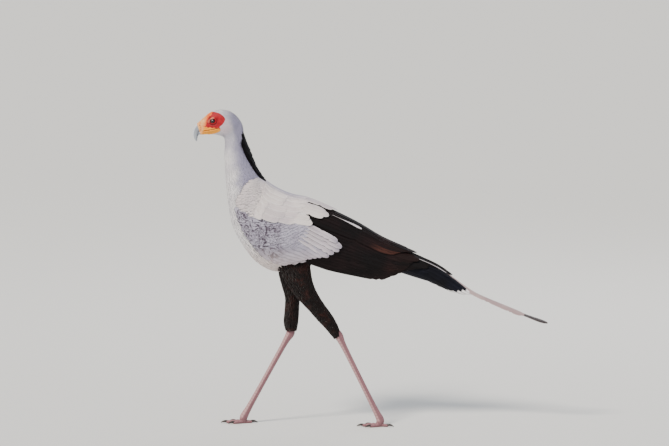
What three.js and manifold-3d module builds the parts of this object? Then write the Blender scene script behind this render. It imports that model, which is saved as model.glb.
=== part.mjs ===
// Secretary bird in mid stride, life size, a still model in millimetres.
// +Z is up, +X is the way the bird faces, +Y is its left side.
// The origin is on the floor, under the middle of the bird's length and width.
import * as THREE from "three";
import { mergeVertices } from "three/addons/utils/BufferGeometryUtils.js";
import Module from "manifold-3d";

const wasm = await Module();
wasm.setup();

// Sizes that drive the whole bird
const gap = 0.4; // air between two neighbouring pieces
const eye = { x: 535, y: 21.5, z: 1043, radius: 10.5, lid: 9.2, lidThick: 1.7 };
const mouth = { x: 576, z: 1006, slope: 11.5, cornerX: 517, depth: 4, height: 0.9 };
const nostril = { x: 581, y: 10, z: 1026, long: 4.5, high: 1.6, slope: 50 };
const vaneThick = 1.1; // at the root; the tip is a little over half of it
const vaneSteps = [0, 0.3, 0.65, 0.88, 1]; // where a vane has its sections, root to tip
const shortSteps = [0, 0.5, 0.84, 1]; // the same for a short vane
const sliver = 0.05; // finer unevenness than this is smoothed away after the cuts
const sides = { left: 1, right: -1 };

// Each section of the trunk is an ellipse across the body: its middle (x, z), half its depth,
// the lean of its depth axis from upright in degrees, and half its width.
const trunk = [
  { name: "rump end", x: 71, z: 635, deep: 37, lean: -13, wide: 30 },
  { name: "rump", x: 144, z: 632, deep: 76, lean: -14, wide: 56 },
  { name: "loin", x: 224, z: 641, deep: 108, lean: -13, wide: 80 },
  { name: "belly", x: 299, z: 653, deep: 130, lean: -11, wide: 91 },
  { name: "ribs", x: 357, z: 683, deep: 129, lean: -14, wide: 92 },
  { name: "breast", x: 398, z: 728, deep: 115, lean: -20, wide: 84 },
  { name: "crop", x: 428, z: 774, deep: 101, lean: -24, wide: 71 },
  { name: "neck base", x: 446, z: 825, deep: 86, lean: -25, wide: 56 },
  { name: "low neck", x: 458, z: 874, deep: 68, lean: -28, wide: 44 },
  { name: "mid neck", x: 466, z: 924, deep: 50, lean: -36, wide: 34 },
  { name: "upper neck", x: 470, z: 964, deep: 38, lean: -47, wide: 28 },
  { name: "throat", x: 471, z: 993, deep: 34, lean: -53, wide: 26 },
  { name: "inside the head", x: 478, z: 1017, deep: 24, lean: -56, wide: 20 },
];

// The smooth form that the folded wings wrap, from the neck base back past the wing tips.
const folded = [
  { x: 446, z: 825, deep: 86, lean: -25, wide: 60 },
  { x: 428, z: 774, deep: 101, lean: -24, wide: 78 },
  { x: 398, z: 725, deep: 118, lean: -19, wide: 91 },
  { x: 357, z: 681, deep: 133, lean: -14, wide: 98 },
  { x: 299, z: 655, deep: 133, lean: -11, wide: 99 },
  { x: 223, z: 644, deep: 126, lean: -8, wide: 94 },
  { x: 138, z: 618, deep: 113, lean: -9, wide: 84 },
  { x: 56, z: 591, deep: 99, lean: -8, wide: 71 },
  { x: -32, z: 562, deep: 77, lean: -6, wide: 58 },
  { x: -114, z: 545, deep: 56, lean: -8, wide: 47 },
  { x: -209, z: 519, deep: 38, lean: -13, wide: 38 },
  { x: -284, z: 483, deep: 28, lean: -22, wide: 30 },
];

// The head runs from the back of the skull to the root of the bill.
const skull = [
  { x: 443, z: 1021, deep: 15, lean: 0, wide: 9 },
  { x: 447, z: 1023, deep: 26, lean: 0, wide: 17 },
  { x: 461, z: 1026, deep: 38, lean: 0, wide: 25 },
  { x: 481, z: 1030, deep: 46, lean: 0, wide: 29.5 },
  { x: 505, z: 1034, deep: 46, lean: 0, wide: 31 },
  { x: 529, z: 1035, deep: 41.5, lean: 0, wide: 29.5 },
  { x: 549, z: 1031, deep: 36, lean: 0, wide: 24 },
  { x: 564, z: 1025, deep: 29, lean: 0, wide: 18 },
  { x: 574, z: 1020, deep: 24, lean: 0, wide: 14 },
];
const upperBill = [
  { x: 552, z: 1035, deep: 20, lean: 0, wide: 17 },
  { x: 566, z: 1030, deep: 21, lean: 0, wide: 15.5 },
  { x: 577, z: 1023.5, deep: 17.5, lean: 4, wide: 12.5 },
  { x: 586, z: 1015.5, deep: 14.5, lean: 22, wide: 9.5 },
  { x: 591.5, z: 1005, deep: 12.5, lean: 48, wide: 7.5 },
  { x: 594.5, z: 993.5, deep: 9.5, lean: 66, wide: 5.2 },
  { x: 594, z: 982, deep: 6, lean: 84, wide: 3.2 },
  { x: 590.5, z: 972, deep: 2, lean: 106, wide: 1.2 },
];
const lowerBill = [
  { x: 552, z: 1008, deep: 12, lean: 0, wide: 14.5 },
  { x: 566, z: 1004.5, deep: 9.5, lean: 0, wide: 12 },
  { x: 577, z: 1001.5, deep: 7, lean: 0, wide: 8.5 },
  { x: 586, z: 1000, deep: 4, lean: 0, wide: 4.5 },
];

// The tail's feathers lie like a tent over this form, from the rump back.
const tailForm = [
  { x: 110, z: 626, deep: 36, lean: -15, wide: 34 },
  { x: 20, z: 602, deep: 34, lean: -18, wide: 37 },
  { x: -60, z: 573, deep: 31, lean: -19, wide: 36 },
  { x: -140, z: 545, deep: 28, lean: -20, wide: 34 },
  { x: -214, z: 519, deep: 26, lean: -24, wide: 33 },
  { x: -267, z: 489, deep: 21, lean: -30, wide: 31 },
  { x: -311, z: 461, deep: 15, lean: -33, wide: 27 },
  { x: -350, z: 437, deep: 9, lean: -33, wide: 22 },
];

// The two long central tail feathers follow this line in the side view, root to tip.
const streamerLine = [
  [20, 645], [-60, 613], [-140, 583], [-225, 553], [-280, 515], [-322, 482],
  [-358, 453], [-440, 415], [-522, 380], [-606, 349],
];
const streamers = [
  { side: 1, middle: 15, width: 30, end: 0.86 },
  { side: -1, middle: 15, width: 28, end: 1 },
];

// Feathered thighs, from the hip down to the hock, in the pose of the stride.
const thighs = {
  left: [
    { x: 262, y: 38, z: 580, deep: 56, lean: 98, wide: 34 },
    { x: 252, y: 42, z: 530, deep: 52, lean: 108, wide: 38 },
    { x: 226, y: 44, z: 470, deep: 39, lean: 120, wide: 36 },
    { x: 190, y: 42, z: 418, deep: 30, lean: 128, wide: 30 },
    { x: 156, y: 39, z: 374, deep: 27, lean: 128, wide: 26 },
    { x: 132, y: 36, z: 342, deep: 23, lean: 126, wide: 22 },
    { x: 115, y: 35, z: 312, deep: 15, lean: 112, wide: 16 },
  ],
  right: [
    { x: 266, y: -38, z: 580, deep: 56, lean: 90, wide: 34 },
    { x: 268, y: -42, z: 530, deep: 50, lean: 90, wide: 38 },
    { x: 268, y: -44, z: 475, deep: 37, lean: 90, wide: 36 },
    { x: 266, y: -42, z: 430, deep: 27, lean: 90, wide: 31 },
    { x: 268, y: -40, z: 385, deep: 27, lean: 90, wide: 29 },
    { x: 271, y: -38, z: 345, deep: 27, lean: 90, wide: 26 },
    { x: 271, y: -37, z: 322, deep: 21, lean: 90, wide: 20 },
  ],
};

// Hock and foot joint of each leg, and how far the tibia reaches up inside the thigh.
const legs = {
  left: { knee: [132, 37, 342], hock: [110, 35, 313], foot: [-33, 52, 24] },
  right: { knee: [271, -38, 345], hock: [272, -38, 312], foot: [431, -28, 24] },
};
const ankleCut = 31; // height of the cut between shank and foot

// Toes: the way each points, outward from straight ahead in degrees, its length and thickness.
const toes = [
  { name: "inner", turn: -30, length: 42, high: 7, wide: 7.5 },
  { name: "middle", turn: 0, length: 60, high: 7.5, wide: 8 },
  { name: "outer", turn: 32, length: 40, high: 7, wide: 7.5 },
  { name: "hind", turn: 168, length: 27, high: 6.5, wide: 6.5 },
];
const claw = { length: 20, sunk: 4, high: 4.3, wide: 3.3 };

// Colour and roughness, as seen on the bird
const finish = {
  white: [0xd9d6da, 0.85],
  grey: [0xb3aebb, 0.85],
  black: [0x17131a, 0.7],
  streamer: [0xa8959b, 0.8],
  face: [0xe2662b, 0.6],
  cere: [0xf0b04a, 0.5],
  horn: [0x8d97a8, 0.35],
  eye: [0x2a2320, 0.1],
  shank: [0xd3a3a4, 0.6],
  claw: [0x2c2625, 0.4],
};

// Helpers that make and join closed solids

let seed = 7;
function draw(low, high) {
  seed = (seed * 16807) % 2147483647;
  return low + ((high - low) * seed) / 2147483647;
}

function solidOf(geometry) {
  const plain = new THREE.BufferGeometry();
  plain.setAttribute("position", geometry.getAttribute("position"));
  if (geometry.index) plain.setIndex(geometry.index);
  const merged = mergeVertices(plain, 1e-3);
  return new wasm.Manifold(
    new wasm.Mesh({
      numProp: 3,
      vertProperties: new Float32Array(merged.attributes.position.array),
      triVerts: new Uint32Array(merged.index.array),
    }),
  );
}

function largest(solid) {
  return solid.decompose().reduce((a, b) => (b.volume() > a.volume() ? b : a));
}

function fuse(solids) {
  return solids.reduce((a, b) => a.add(b));
}

function cut(solid, tools) {
  return largest(tools.reduce((a, b) => a.subtract(b), solid));
}

// The triangles of a solid, with points that a cut left almost on one spot joined.
function geometryOf(solid) {
  const mesh = solid.getMesh();
  const spots = new Float32Array(mesh.numVert * 3);
  for (let i = 0; i < mesh.numVert; i++) {
    const start = i * mesh.numProp;
    spots.set(mesh.vertProperties.subarray(start, start + 3), i * 3);
  }
  const loose = new THREE.BufferGeometry();
  loose.setAttribute("position", new THREE.BufferAttribute(spots, 3));
  loose.setIndex(new THREE.BufferAttribute(mesh.triVerts, 1));
  const geometry = mergeVertices(loose, 1e-3);
  const corners = [...geometry.index.array];
  const kept = corners.filter((_, i) => {
    const [a, b, c] = corners.slice(i - (i % 3), i - (i % 3) + 3);
    return a !== b && b !== c && c !== a;
  });
  geometry.setIndex(kept);
  geometry.computeVertexNormals();
  return geometry;
}

const bird = new THREE.Group();
function addNode(name, solid, look, evenness = sliver) {
  const [color, roughness] = finish[look];
  const material = new THREE.MeshStandardMaterial({ color, roughness, flatShading: true });
  const mesh = new THREE.Mesh(geometryOf(largest(solid.asOriginal().simplify(evenness))), material);
  mesh.name = name;
  bird.add(mesh);
}

// A closed surface through rings of points, each ring with the same number of points. The rings of
// a band run out along one face and back along the other.
function skinOver(rings, band = false) {
  const count = rings[0].length;
  const spots = rings.flat();
  const faces = [];
  for (let r = 0; r + 1 < rings.length; r++) {
    for (let k = 0; k < count; k++) {
      const a = r * count + k;
      const b = r * count + ((k + 1) % count);
      faces.push(a, b, b + count, a, b + count, a + count);
    }
  }
  for (const [r, front] of [[0, false], [rings.length - 1, true]]) {
    if (band) {
      for (let k = 0; k + 1 < count / 2; k++) {
        const [a, b, c, d] = [k, k + 1, count - 2 - k, count - 1 - k].map((i) => r * count + i);
        faces.push(...(front ? [a, b, c, a, c, d] : [c, b, a, d, c, a]));
      }
      continue;
    }
    const middle = new THREE.Vector3();
    rings[r].forEach((p) => middle.addScaledVector(p, 1 / count));
    spots.push(middle);
    for (let k = 0; k < count; k++) {
      const a = r * count + k;
      const b = r * count + ((k + 1) % count);
      faces.push(...(front ? [a, b, spots.length - 1] : [b, a, spots.length - 1]));
    }
  }
  return closedSolid(spots, faces);
}

// A solid from points and triangles, turned right side out where a mirror has turned it.
function closedSolid(spots, faces) {
  const geometry = new THREE.BufferGeometry().setFromPoints(spots);
  geometry.setIndex(faces);
  const solid = solidOf(geometry);
  if (solid.volume() > 0) return solid;
  for (let i = 0; i < faces.length; i += 3) [faces[i + 1], faces[i + 2]] = [faces[i + 2], faces[i + 1]];
  geometry.setIndex(faces);
  return solidOf(geometry);
}

// The section of a form at place u, from 0 at its first section to 1 at its last, on a smooth curve.
function sectionAt(form, u) {
  const spot = Math.min(Math.max(u, 0), 1) * (form.length - 1);
  const i = Math.min(Math.floor(spot), form.length - 2);
  const t = spot - i;
  const at = (k, key) => form[Math.min(Math.max(k, 0), form.length - 1)][key] ?? 0;
  const mix = (key) => {
    const [a, b, c, d] = [at(i - 1, key), at(i, key), at(i + 1, key), at(i + 2, key)];
    return b + 0.5 * t * (c - a + t * (2 * a - 5 * b + 4 * c - d + t * (3 * (b - c) + d - a)));
  };
  return Object.fromEntries(["x", "y", "z", "deep", "lean", "wide"].map((key) => [key, mix(key)]));
}

// A point on a form: u along it, degrees round it from the left flank up, and height above it.
function pointOn(form, u, degrees, height) {
  const s = sectionAt(form, u);
  const lean = THREE.MathUtils.degToRad(s.lean);
  const angle = THREE.MathUtils.degToRad(degrees);
  const rise = (s.deep + height) * Math.sin(angle);
  return new THREE.Vector3(
    s.x + rise * Math.sin(lean),
    s.y + (s.wide + height) * Math.cos(angle),
    s.z + rise * Math.cos(lean),
  );
}

function loft(form, ringCount, pointCount, grow = 0, end = 1) {
  const rings = [];
  for (let r = 0; r < ringCount; r++) {
    const ring = [];
    for (let k = 0; k < pointCount; k++) {
      ring.push(pointOn(form, (end * r) / (ringCount - 1), (360 * k) / pointCount, grow));
    }
    rings.push(ring);
  }
  pushEnds(rings, grow);
  return skinOver(rings);
}

// Moves the first and last ring of a surface outwards by a distance.
function pushEnds(rings, distance) {
  for (const [end, inside] of [[rings[0], rings[1]], [rings.at(-1), rings.at(-2)]]) {
    const outward = new THREE.Vector3();
    end.forEach((p, k) => outward.add(p).sub(inside[k]));
    outward.setLength(distance);
    end.forEach((p) => p.add(outward));
  }
}

// A closed patch laid over a surface: u from one end to the other, between the angles low(u) and
// high(u), and between the heights inner(u) and outer(u).
function sheet({ on, from, to, rings, points, low, high, inner, outer, side = 1 }) {
  const loops = [];
  for (let r = 0; r < rings; r++) {
    const u = from + ((to - from) * r) / (rings - 1);
    const [bottom, top] = [low(u), high(u)];
    const row = (height) =>
      Array.from({ length: points }, (_, k) => on(u, bottom + ((top - bottom) * k) / (points - 1), height));
    loops.push([...row(outer(u)), ...row(inner(u)).reverse()]);
  }
  loops.flat().forEach((p) => (p.y *= side));
  return skinOver(loops, true);
}

// Goes from one value to another while u goes from start to end.
function ramp(u, start, end, before, after) {
  return before + (after - before) * THREE.MathUtils.smoothstep(u, start, end);
}

// How wide a feather is along its length, as a share of its full width.
const broad = (t) => Math.min(1, 0.5 + 1.5 * t) * (1 - 0.6 * (Math.max(0, t - 0.7) / 0.3) ** 2);
const spoon = (t) =>
  (0.3 + 0.7 * Math.min(1, t / 0.75)) * (1 - 0.65 * (Math.max(0, t - 0.75) / 0.25) ** 2);

// One feather vane laid on a surface. on(u, v, h) gives a point of the surface, root and tip are
// places [u, v] on it, and the vane climbs from one height to another. tilt lifts one edge, so
// that neighbours overlap like shingles. columns is how many points it has across.
function vane({ on, root, tip, width, height, tilt = 0, columns = 3, steps = vaneSteps, ...rest }) {
  const { profile = broad, side = 1 } = rest;
  const upper = [];
  const lower = [];
  for (const t of steps) {
    const u = root[0] + (tip[0] - root[0]) * t;
    const v = root[1] + (tip[1] - root[1]) * t;
    const here = on(u, v, 0);
    const nudge = u > 0.5 ? -1e-3 : 1e-3;
    const perU = on(u + nudge, v, 0).distanceTo(here) / 1e-3;
    const perV = on(u, v + nudge, 0).distanceTo(here) / 1e-3;
    const [du, dv] = [(tip[0] - root[0]) * perU, (tip[1] - root[1]) * perV];
    const run = Math.hypot(du, dv);
    const half = (width / 2) * profile(t);
    const middle = height[0] + (height[1] - height[0]) * t;
    const thick = vaneThick * (1 - 0.45 * t);
    for (let k = 0; k < columns; k++) {
      const across = half * ((2 * k) / (columns - 1) - 1);
      const place = [u - (dv / run / perU) * across, v + (du / run / perV) * across];
      upper.push(on(...place, middle + tilt * across + thick / 2));
      lower.push(on(...place, middle + tilt * across - thick / 2));
    }
  }
  const spots = [...upper, ...lower];
  spots.forEach((p) => (p.y *= side));
  const under = upper.length;
  const faces = [];
  const quad = (a, b, c, d) => faces.push(a, b, c, a, c, d);
  for (let r = 0; r + 1 < steps.length; r++) {
    for (let k = 0; k + 1 < columns; k++) {
      const a = r * columns + k;
      const far = a + columns + 1;
      faces.push(a, a + columns, far, a, far, a + 1);
      faces.push(under + a, under + far, under + a + columns, under + a, under + a + 1, under + far);
    }
    const left = r * columns;
    const right = left + columns - 1;
    quad(left, under + left, under + left + columns, left + columns);
    quad(right, right + columns, under + right + columns, under + right);
  }
  const last = under - columns;
  for (let k = 0; k + 1 < columns; k++) {
    quad(k, k + 1, under + k + 1, under + k);
    quad(last + k, under + last + k, under + last + k + 1, last + k + 1);
  }
  return closedSolid(spots, faces);
}

// A row of vanes side by side. Roots, tips and the rest are given for s from 0 to 1 along the row,
// and spread is how far a tip strays from its place, as a share of the vane's length.
function vaneRow({ count, roots, tips, widths, heights, tilts = () => 0, spread = 0.04, ...common }) {
  return Array.from({ length: count }, (_, i) => {
    const s = count > 1 ? i / (count - 1) : 0.5;
    const root = roots(s);
    const tip = tips(s);
    tip[0] += (tip[0] - root[0]) * draw(-spread, spread);
    tip[1] += draw(-0.5, 0.5);
    const width = widths(s) * draw(0.95, 1.05);
    return vane({ ...common, root, tip, width, height: heights(root, tip, s), tilt: tilts(s) });
  });
}

// A limb through joints [x, y, z, half its length fore and aft, half its width].
function limb(joints, pointCount, floor = null, grow = 0) {
  const rings = joints.map(([x, y, z, fore, wide], i) => {
    const before = joints[Math.max(i - 1, 0)];
    const after = joints[Math.min(i + 1, joints.length - 1)];
    const along = new THREE.Vector3(after[0] - before[0], after[1] - before[1], after[2] - before[2]).normalize();
    const across = new THREE.Vector3(0, 1, 0).addScaledVector(along, -along.y);
    if (across.lengthSq() < 0.1) across.set(0, 0, 1).addScaledVector(along, -along.z);
    across.normalize();
    const front = new THREE.Vector3().crossVectors(across, along);
    return Array.from({ length: pointCount }, (_, k) => {
      const angle = (2 * Math.PI * (k + 0.5)) / pointCount;
      const p = new THREE.Vector3(x, y, z);
      p.addScaledVector(front, (fore + grow) * Math.cos(angle));
      p.addScaledVector(across, (wide + grow) * Math.sin(angle));
      if (floor !== null) p.z = Math.max(p.z, floor);
      return p;
    });
  });
  pushEnds(rings, grow);
  return skinOver(rings);
}

function ball(x, y, z, radius, around = 14, down = 10) {
  const geometry = new THREE.SphereGeometry(radius, around, down);
  geometry.translate(x, y, z);
  return solidOf(geometry);
}

// A box with its middle at a place, turned about the Y axis by a slope in degrees.
function block(x, y, z, long, wide, high, slope = 0) {
  const geometry = new THREE.BoxGeometry(long, wide, high);
  geometry.rotateY(THREE.MathUtils.degToRad(slope));
  geometry.translate(x, y, z);
  return solidOf(geometry);
}

// Parts a solid in two by a thin plate through [x, z] and gives the lower piece first.
function part(solid, x, z, slope) {
  const pieces = solid.subtract(block(x, 0, z, 500, 500, gap, slope)).decompose();
  const [a, b] = pieces.sort((p, q) => q.volume() - p.volume());
  const middle = (piece) => {
    const box = piece.boundingBox();
    return box.min[2] + box.max[2];
  };
  return middle(a) < middle(b) ? [a, b] : [b, a];
}

// Trunk and neck

const neckCut = { x: 433, z: 807, slope: 46 };
const headCut = { x: 468, z: 981, slope: 18 };
const trunkClear = loft(trunk, 27, 18, gap);
const [torsoBlank, upperTrunk] = part(loft(trunk, 27, 18), neckCut.x, neckCut.z, neckCut.slope);
const skullSolid = loft(skull, 13, 18);
const [neckBlank, skullWhole] = part(upperTrunk.add(skullSolid), headCut.x, headCut.z, headCut.slope);

// Head, with eye sockets, lids, mouth line and nostrils

const aboveMouth = (lift) => {
  const slope = THREE.MathUtils.degToRad(mouth.slope);
  const rise = 50 + lift;
  return block(mouth.x + rise * Math.sin(slope), 0, mouth.z + rise * Math.cos(slope), 200, 60, 100, mouth.slope);
};
const faceFront = 567; // where the face ends and the bill begins
const behindFace = (shift) => block(faceFront + shift - 50, 0, 1000, 100, 60, 200);

const lowerClear = loft(lowerBill, 7, 12, gap).subtract(aboveMouth(gap)).subtract(behindFace(-gap));
addNode("bill_lower", largest(loft(lowerBill, 7, 12).subtract(aboveMouth(0)).subtract(behindFace(0))), "horn");

const eyeHollows = Object.values(sides).map((side) => ball(eye.x, side * eye.y, eye.z, eye.radius + gap));
const lids = Object.values(sides).map((side) => {
  const ring = new THREE.TorusGeometry(eye.lid, eye.lidThick, 5, 15);
  ring.rotateX(Math.PI / 2);
  ring.translate(eye.x, side * (eye.y + 6), eye.z);
  return solidOf(ring);
});
const mouthLine = block(
  (mouth.cornerX + faceFront) / 2,
  0,
  mouth.z + (mouth.x - (mouth.cornerX + faceFront) / 2) * Math.tan(THREE.MathUtils.degToRad(mouth.slope)),
  faceFront - mouth.cornerX,
  100,
  mouth.height,
  mouth.slope,
).subtract(loft(skull, 13, 18, -mouth.depth));
const nostrilSlots = Object.values(sides).map((side) =>
  block(nostril.x, side * nostril.y, nostril.z, nostril.long, 8, nostril.high, nostril.slope),
);
const headWhole = fuse([skullWhole, loft(upperBill, 13, 12), ...lids]);
const headOpened = cut(headWhole, [...eyeHollows, lowerClear, mouthLine, ...nostrilSlots]);
const [faceBlank, billBlank] = headOpened
  .subtract(block(faceFront, 0, 1020, gap, 200, 200))
  .decompose()
  .sort((a, b) => a.boundingBox().min[0] - b.boundingBox().min[0]);
const [billUpper, cere] = billBlank
  .subtract(block(585, 0, 1017, 200, 100, gap, -77))
  .decompose()
  .sort((a, b) => b.boundingBox().max[0] - a.boundingBox().max[0]);
addNode("cere", cere, "cere");
addNode("bill_upper", billUpper, "horn");
for (const [name, side] of Object.entries(sides)) {
  addNode(`eye_${name}`, ball(eye.x, side * eye.y, eye.z, eye.radius), "eye");
}

// Crest: a pad on the nape, with long feathers that lie down the back of the neck

const crest = { layers: 5, perLayer: 3, width: 16, rootSpread: 7, tipSpread: 16 };
const onNape = (u, across, height) => {
  const reach = THREE.MathUtils.radToDeg(across / sectionAt(trunk, u).wide);
  return pointOn(trunk, u, 90 - reach, height);
};
const napePad = sheet({
  on: onNape,
  from: 0.965,
  to: 0.885,
  rings: 4,
  points: 5,
  low: () => -13,
  high: () => 13,
  inner: () => -7,
  outer: (u) => ramp(u, 0.885, 0.93, 9, 6),
});
const crestVanes = [];
for (let layer = 0; layer < crest.layers; layer++) {
  const [rootHeight, tipHeight] = [0.4 + layer * 1.9, 2.6 + layer * 3];
  const reach = [0.475, 0.52, 0.59, 0.67, 0.76][layer];
  crestVanes.push(
    ...vaneRow({
      on: onNape,
      count: crest.perLayer,
      roots: (s) => [0.925 - 0.004 * layer, crest.rootSpread * (2 * s - 1)],
      tips: (s) => [reach + 0.03 * Math.abs(2 * s - 1), crest.tipSpread * (2 * s - 1)],
      widths: () => crest.width,
      heights: (root, tip, s) => [rootHeight, tipHeight].map((h) => (s === 0.5 ? h + 1.5 : h)),
      profile: spoon,
      columns: 2,
      steps: [0, 0.3, 0.6, 0.85, 1],
    }),
  );
}
addNode("crest", cut(fuse([napePad, ...crestVanes]), [trunkClear, loft(skull, 13, 18, gap)]), "black");

addNode("head", faceBlank, "face");
addNode("neck", neckBlank, "white");

// Wings: the arm with its coverts lies over the black flight feathers

const onWing = (u, degrees, height) => pointOn(folded, u, degrees, height);
const armEdge = (u) => ramp(u, 0.4, 0.5, -36, -18); // the wing's lower edge, in degrees
const armTop = (u) => ramp(u, 0.28, 0.44, 1, 7.5); // how high the arm stands over the form
const flightEdge = -38;
const lerp = THREE.MathUtils.lerp;

// Room that the wings take, so that the thighs stay clear of them
const wingRoom = Object.values(sides).map((side) =>
  sheet({
    on: onWing,
    from: 0.2,
    to: 0.7,
    rings: 14,
    points: 9,
    low: () => -46,
    high: () => 60,
    inner: () => -12 - gap,
    outer: () => 40,
    side,
  }),
);

function armNode(side) {
  const core = sheet({
    on: onWing,
    from: 0.035,
    to: 0.45,
    rings: 8,
    points: 6,
    low: armEdge,
    high: () => 66,
    inner: () => -12,
    outer: armTop,
    side,
  });
  const climb = (rise) => (root, tip) => [armTop(root[0]) - 1, armTop(Math.min(tip[0], 0.44)) + rise];
  const rows = [];
  const smallRows = 6;
  for (let row = 0; row < smallRows; row++) {
    const start = lerp(0.05, 0.37, row / (smallRows - 1));
    const offset = row % 2 ? 6 : 0;
    rows.push(
      ...vaneRow({
        on: onWing,
        count: 4,
        roots: (s) => [start, lerp(-32 + offset, 7 + offset, s)],
        tips: (s) => [start + 0.125, lerp(-36 + offset, 4 + offset, s)],
        widths: () => 33,
        heights: climb(7),
        tilts: () => -0.08,
        steps: shortSteps,
        columns: 2,
        side,
      }),
    );
  }
  // Greater coverts, the long pale fan over the black feathers
  rows.push(
    ...vaneRow({
      on: onWing,
      count: 5,
      roots: (s) => [0.41, lerp(-22, 20, s)],
      tips: (s) => [lerp(0.535, 0.59, s), lerp(-26, 14, s)],
      widths: () => 38,
      heights: () => [armTop(0.41) - 2, 8],
      tilts: () => -0.1,
      side,
    }),
  );
  const shoulderRows = 5;
  for (let row = 0; row < shoulderRows; row++) {
    const start = lerp(0.06, 0.4, row / (shoulderRows - 1));
    rows.push(
      ...vaneRow({
        on: onWing,
        count: 3,
        roots: (s) => [start - 0.02 * s, lerp(31, 57, s)],
        tips: (s) => [start + lerp(0.12, 0.14, s), lerp(29, 59, s)],
        widths: () => 34,
        heights: climb(7.5),
        tilts: () => -0.09,
        steps: shortSteps,
        columns: 3,
        side,
      }),
    );
  }
  return cut(fuse([core, ...rows]), [trunkClear]);
}

function flightNode(side) {
  const core = sheet({
    on: onWing,
    from: 0.47,
    to: 0.568,
    rings: 4,
    points: 10,
    low: () => flightEdge,
    high: () => 74,
    inner: () => -3,
    outer: () => 2,
    side,
  });
  const tipPlaces = [[0, 0.765], [0.2, 0.81], [0.4, 0.832], [0.7, 0.85], [0.85, 0.875], [1, 0.865]];
  const tipLine = new THREE.SplineCurve(tipPlaces.map(([s, u]) => new THREE.Vector2(s, u)));
  const vanes = vaneRow({
    on: onWing,
    count: 10,
    roots: (s) => [0.495, lerp(flightEdge + 6, 62, s)],
    tips: (s) => [tipLine.getPoint(s).y, lerp(-30, 63, s)],
    widths: (s) => lerp(38, 44, s),
    heights: () => [0, 6.5],
    tilts: (s) => lerp(-0.14, -0.22, s),
    spread: 0.01,
    side,
  });
  return cut(fuse([core, ...vanes]), [trunkClear]);
}

for (const [name, side] of Object.entries(sides)) {
  addNode(`wing_${name}`, armNode(side), "grey");
  addNode(`flight_${name}`, flightNode(side), "black");
}

// Tail

const onTail = (u, degrees, height) => pointOn(tailForm, u, degrees, height);
const tailVanes = Object.values(sides).flatMap((side) =>
  vaneRow({
    on: onTail,
    count: 4,
    roots: (s) => [0.16, lerp(-36, 52, s)],
    tips: (s) => [lerp(0.8, 0.98, s), lerp(-33, 50, s)],
    widths: (s) => lerp(36, 29, s),
    heights: () => [0, 4.5],
    tilts: (s) => lerp(-0.22, -0.3, s),
    columns: 4,
    steps: [0, 0.3, 0.6, 0.86, 1],
    side,
  }),
);
addNode("tail", cut(fuse([loft(tailForm, 5, 14, 1, 0.28), ...tailVanes]), [trunkClear]), "black");

const streamerPath = new THREE.CatmullRomCurve3(streamerLine.map(([x, z]) => new THREE.Vector3(x, 0, z)));
function onStreamer(u, across, height) {
  const spot = streamerPath.getPointAt(THREE.MathUtils.clamp(u, 0, 1));
  const along = streamerPath.getTangentAt(THREE.MathUtils.clamp(u, 0, 1));
  const lift = height - 0.012 * across * across;
  return new THREE.Vector3(spot.x + along.z * lift, across, spot.z - along.x * lift);
}
const streamerSteps = [0, 0.15, 0.3, 0.42, 0.52, 0.62, 0.74, 0.87, 0.95, 1];
const streamerVanes = streamers.map(({ side, middle, width, end }) =>
  vane({
    on: onStreamer,
    root: [0, middle * 0.5],
    tip: [end, middle],
    width,
    height: [0, 3],
    steps: streamerSteps,
    side,
  }),
);
const streamerPad = sheet({
  on: onStreamer,
  from: 0.001,
  to: 0.05,
  rings: 3,
  points: 5,
  low: () => -14,
  high: () => 14,
  inner: () => -1.5,
  outer: () => 2,
});
addNode("tail_streamers", largest(fuse([streamerPad, ...streamerVanes])), "streamer");

// Legs, feet and claws

function legNodes(name) {
  const side = sides[name];
  const { knee, hock, foot } = legs[name];
  const along = (share) => hock.map((value, i) => value + (foot[i] - value) * share);
  const shank = [
    [...knee, 10, 9],
    [...hock, 14.5, 12.5],
    [...along(0.09), 11, 9.5],
    [...along(0.22), 9.2, 7.5],
    [...along(0.6), 8.8, 7],
    [...along(0.88), 10, 8.5],
    [...along(1), 13, 12],
    [foot[0] + 3, foot[1], 9, 12, 11],
  ];
  const thighRoom = [trunkClear, ...wingRoom, limb(shank, 12, null, gap)];
  addNode(`thigh_${name}`, cut(loft(thighs[name], 11, 14), thighRoom), "black");
  const toeSolids = [];
  const clawHollows = [];
  for (const toe of toes) {
    const heading = THREE.MathUtils.degToRad(toe.turn) * side;
    const place = (run, height, high, wide) => [
      foot[0] + run * Math.cos(heading),
      foot[1] + run * Math.sin(heading),
      height,
      high,
      wide,
    ];
    const { length, high, wide } = toe;
    toeSolids.push(
      limb(
        [
          place(-2, 10, 10, wide * 1.15),
          place(length * 0.45, high * 0.86, high, wide * 0.98),
          place(length * 0.75, high * 0.7, high * 0.8, wide * 0.8),
          place(length * 0.9, high * 0.69, high * 0.78, wide * 0.85),
          place(length, high * 0.72, high * 0.5, wide * 0.5),
        ],
        8,
        0,
      ),
    );
    const clawJoints = [
      place(length - claw.sunk, 6.2, claw.high, claw.wide),
      place(length + claw.length * 0.3, 7, claw.high * 0.92, claw.wide * 0.9),
      place(length + claw.length * 0.7, 5.2, claw.high * 0.6, claw.wide * 0.6),
      place(length + claw.length, 1.9, 0.8, 0.7),
    ];
    clawHollows.push(limb(clawJoints.slice(0, 2), 6, null, gap));
    addNode(`claw_${name}_${toe.name}`, limb(clawJoints, 6), "claw");
  }
  const whole = cut(fuse([limb(shank, 12, 0), ...toeSolids]), clawHollows);
  const [footSolid, shankSolid] = part(whole, foot[0], ankleCut, 0);
  addNode(`tarsus_${name}`, shankSolid, "shank");
  addNode(`foot_${name}`, footSolid, "shank", sliver / 50);
}
legNodes("left");
legNodes("right");

addNode("torso", cut(torsoBlank, []), "white");

export default bird;
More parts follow.
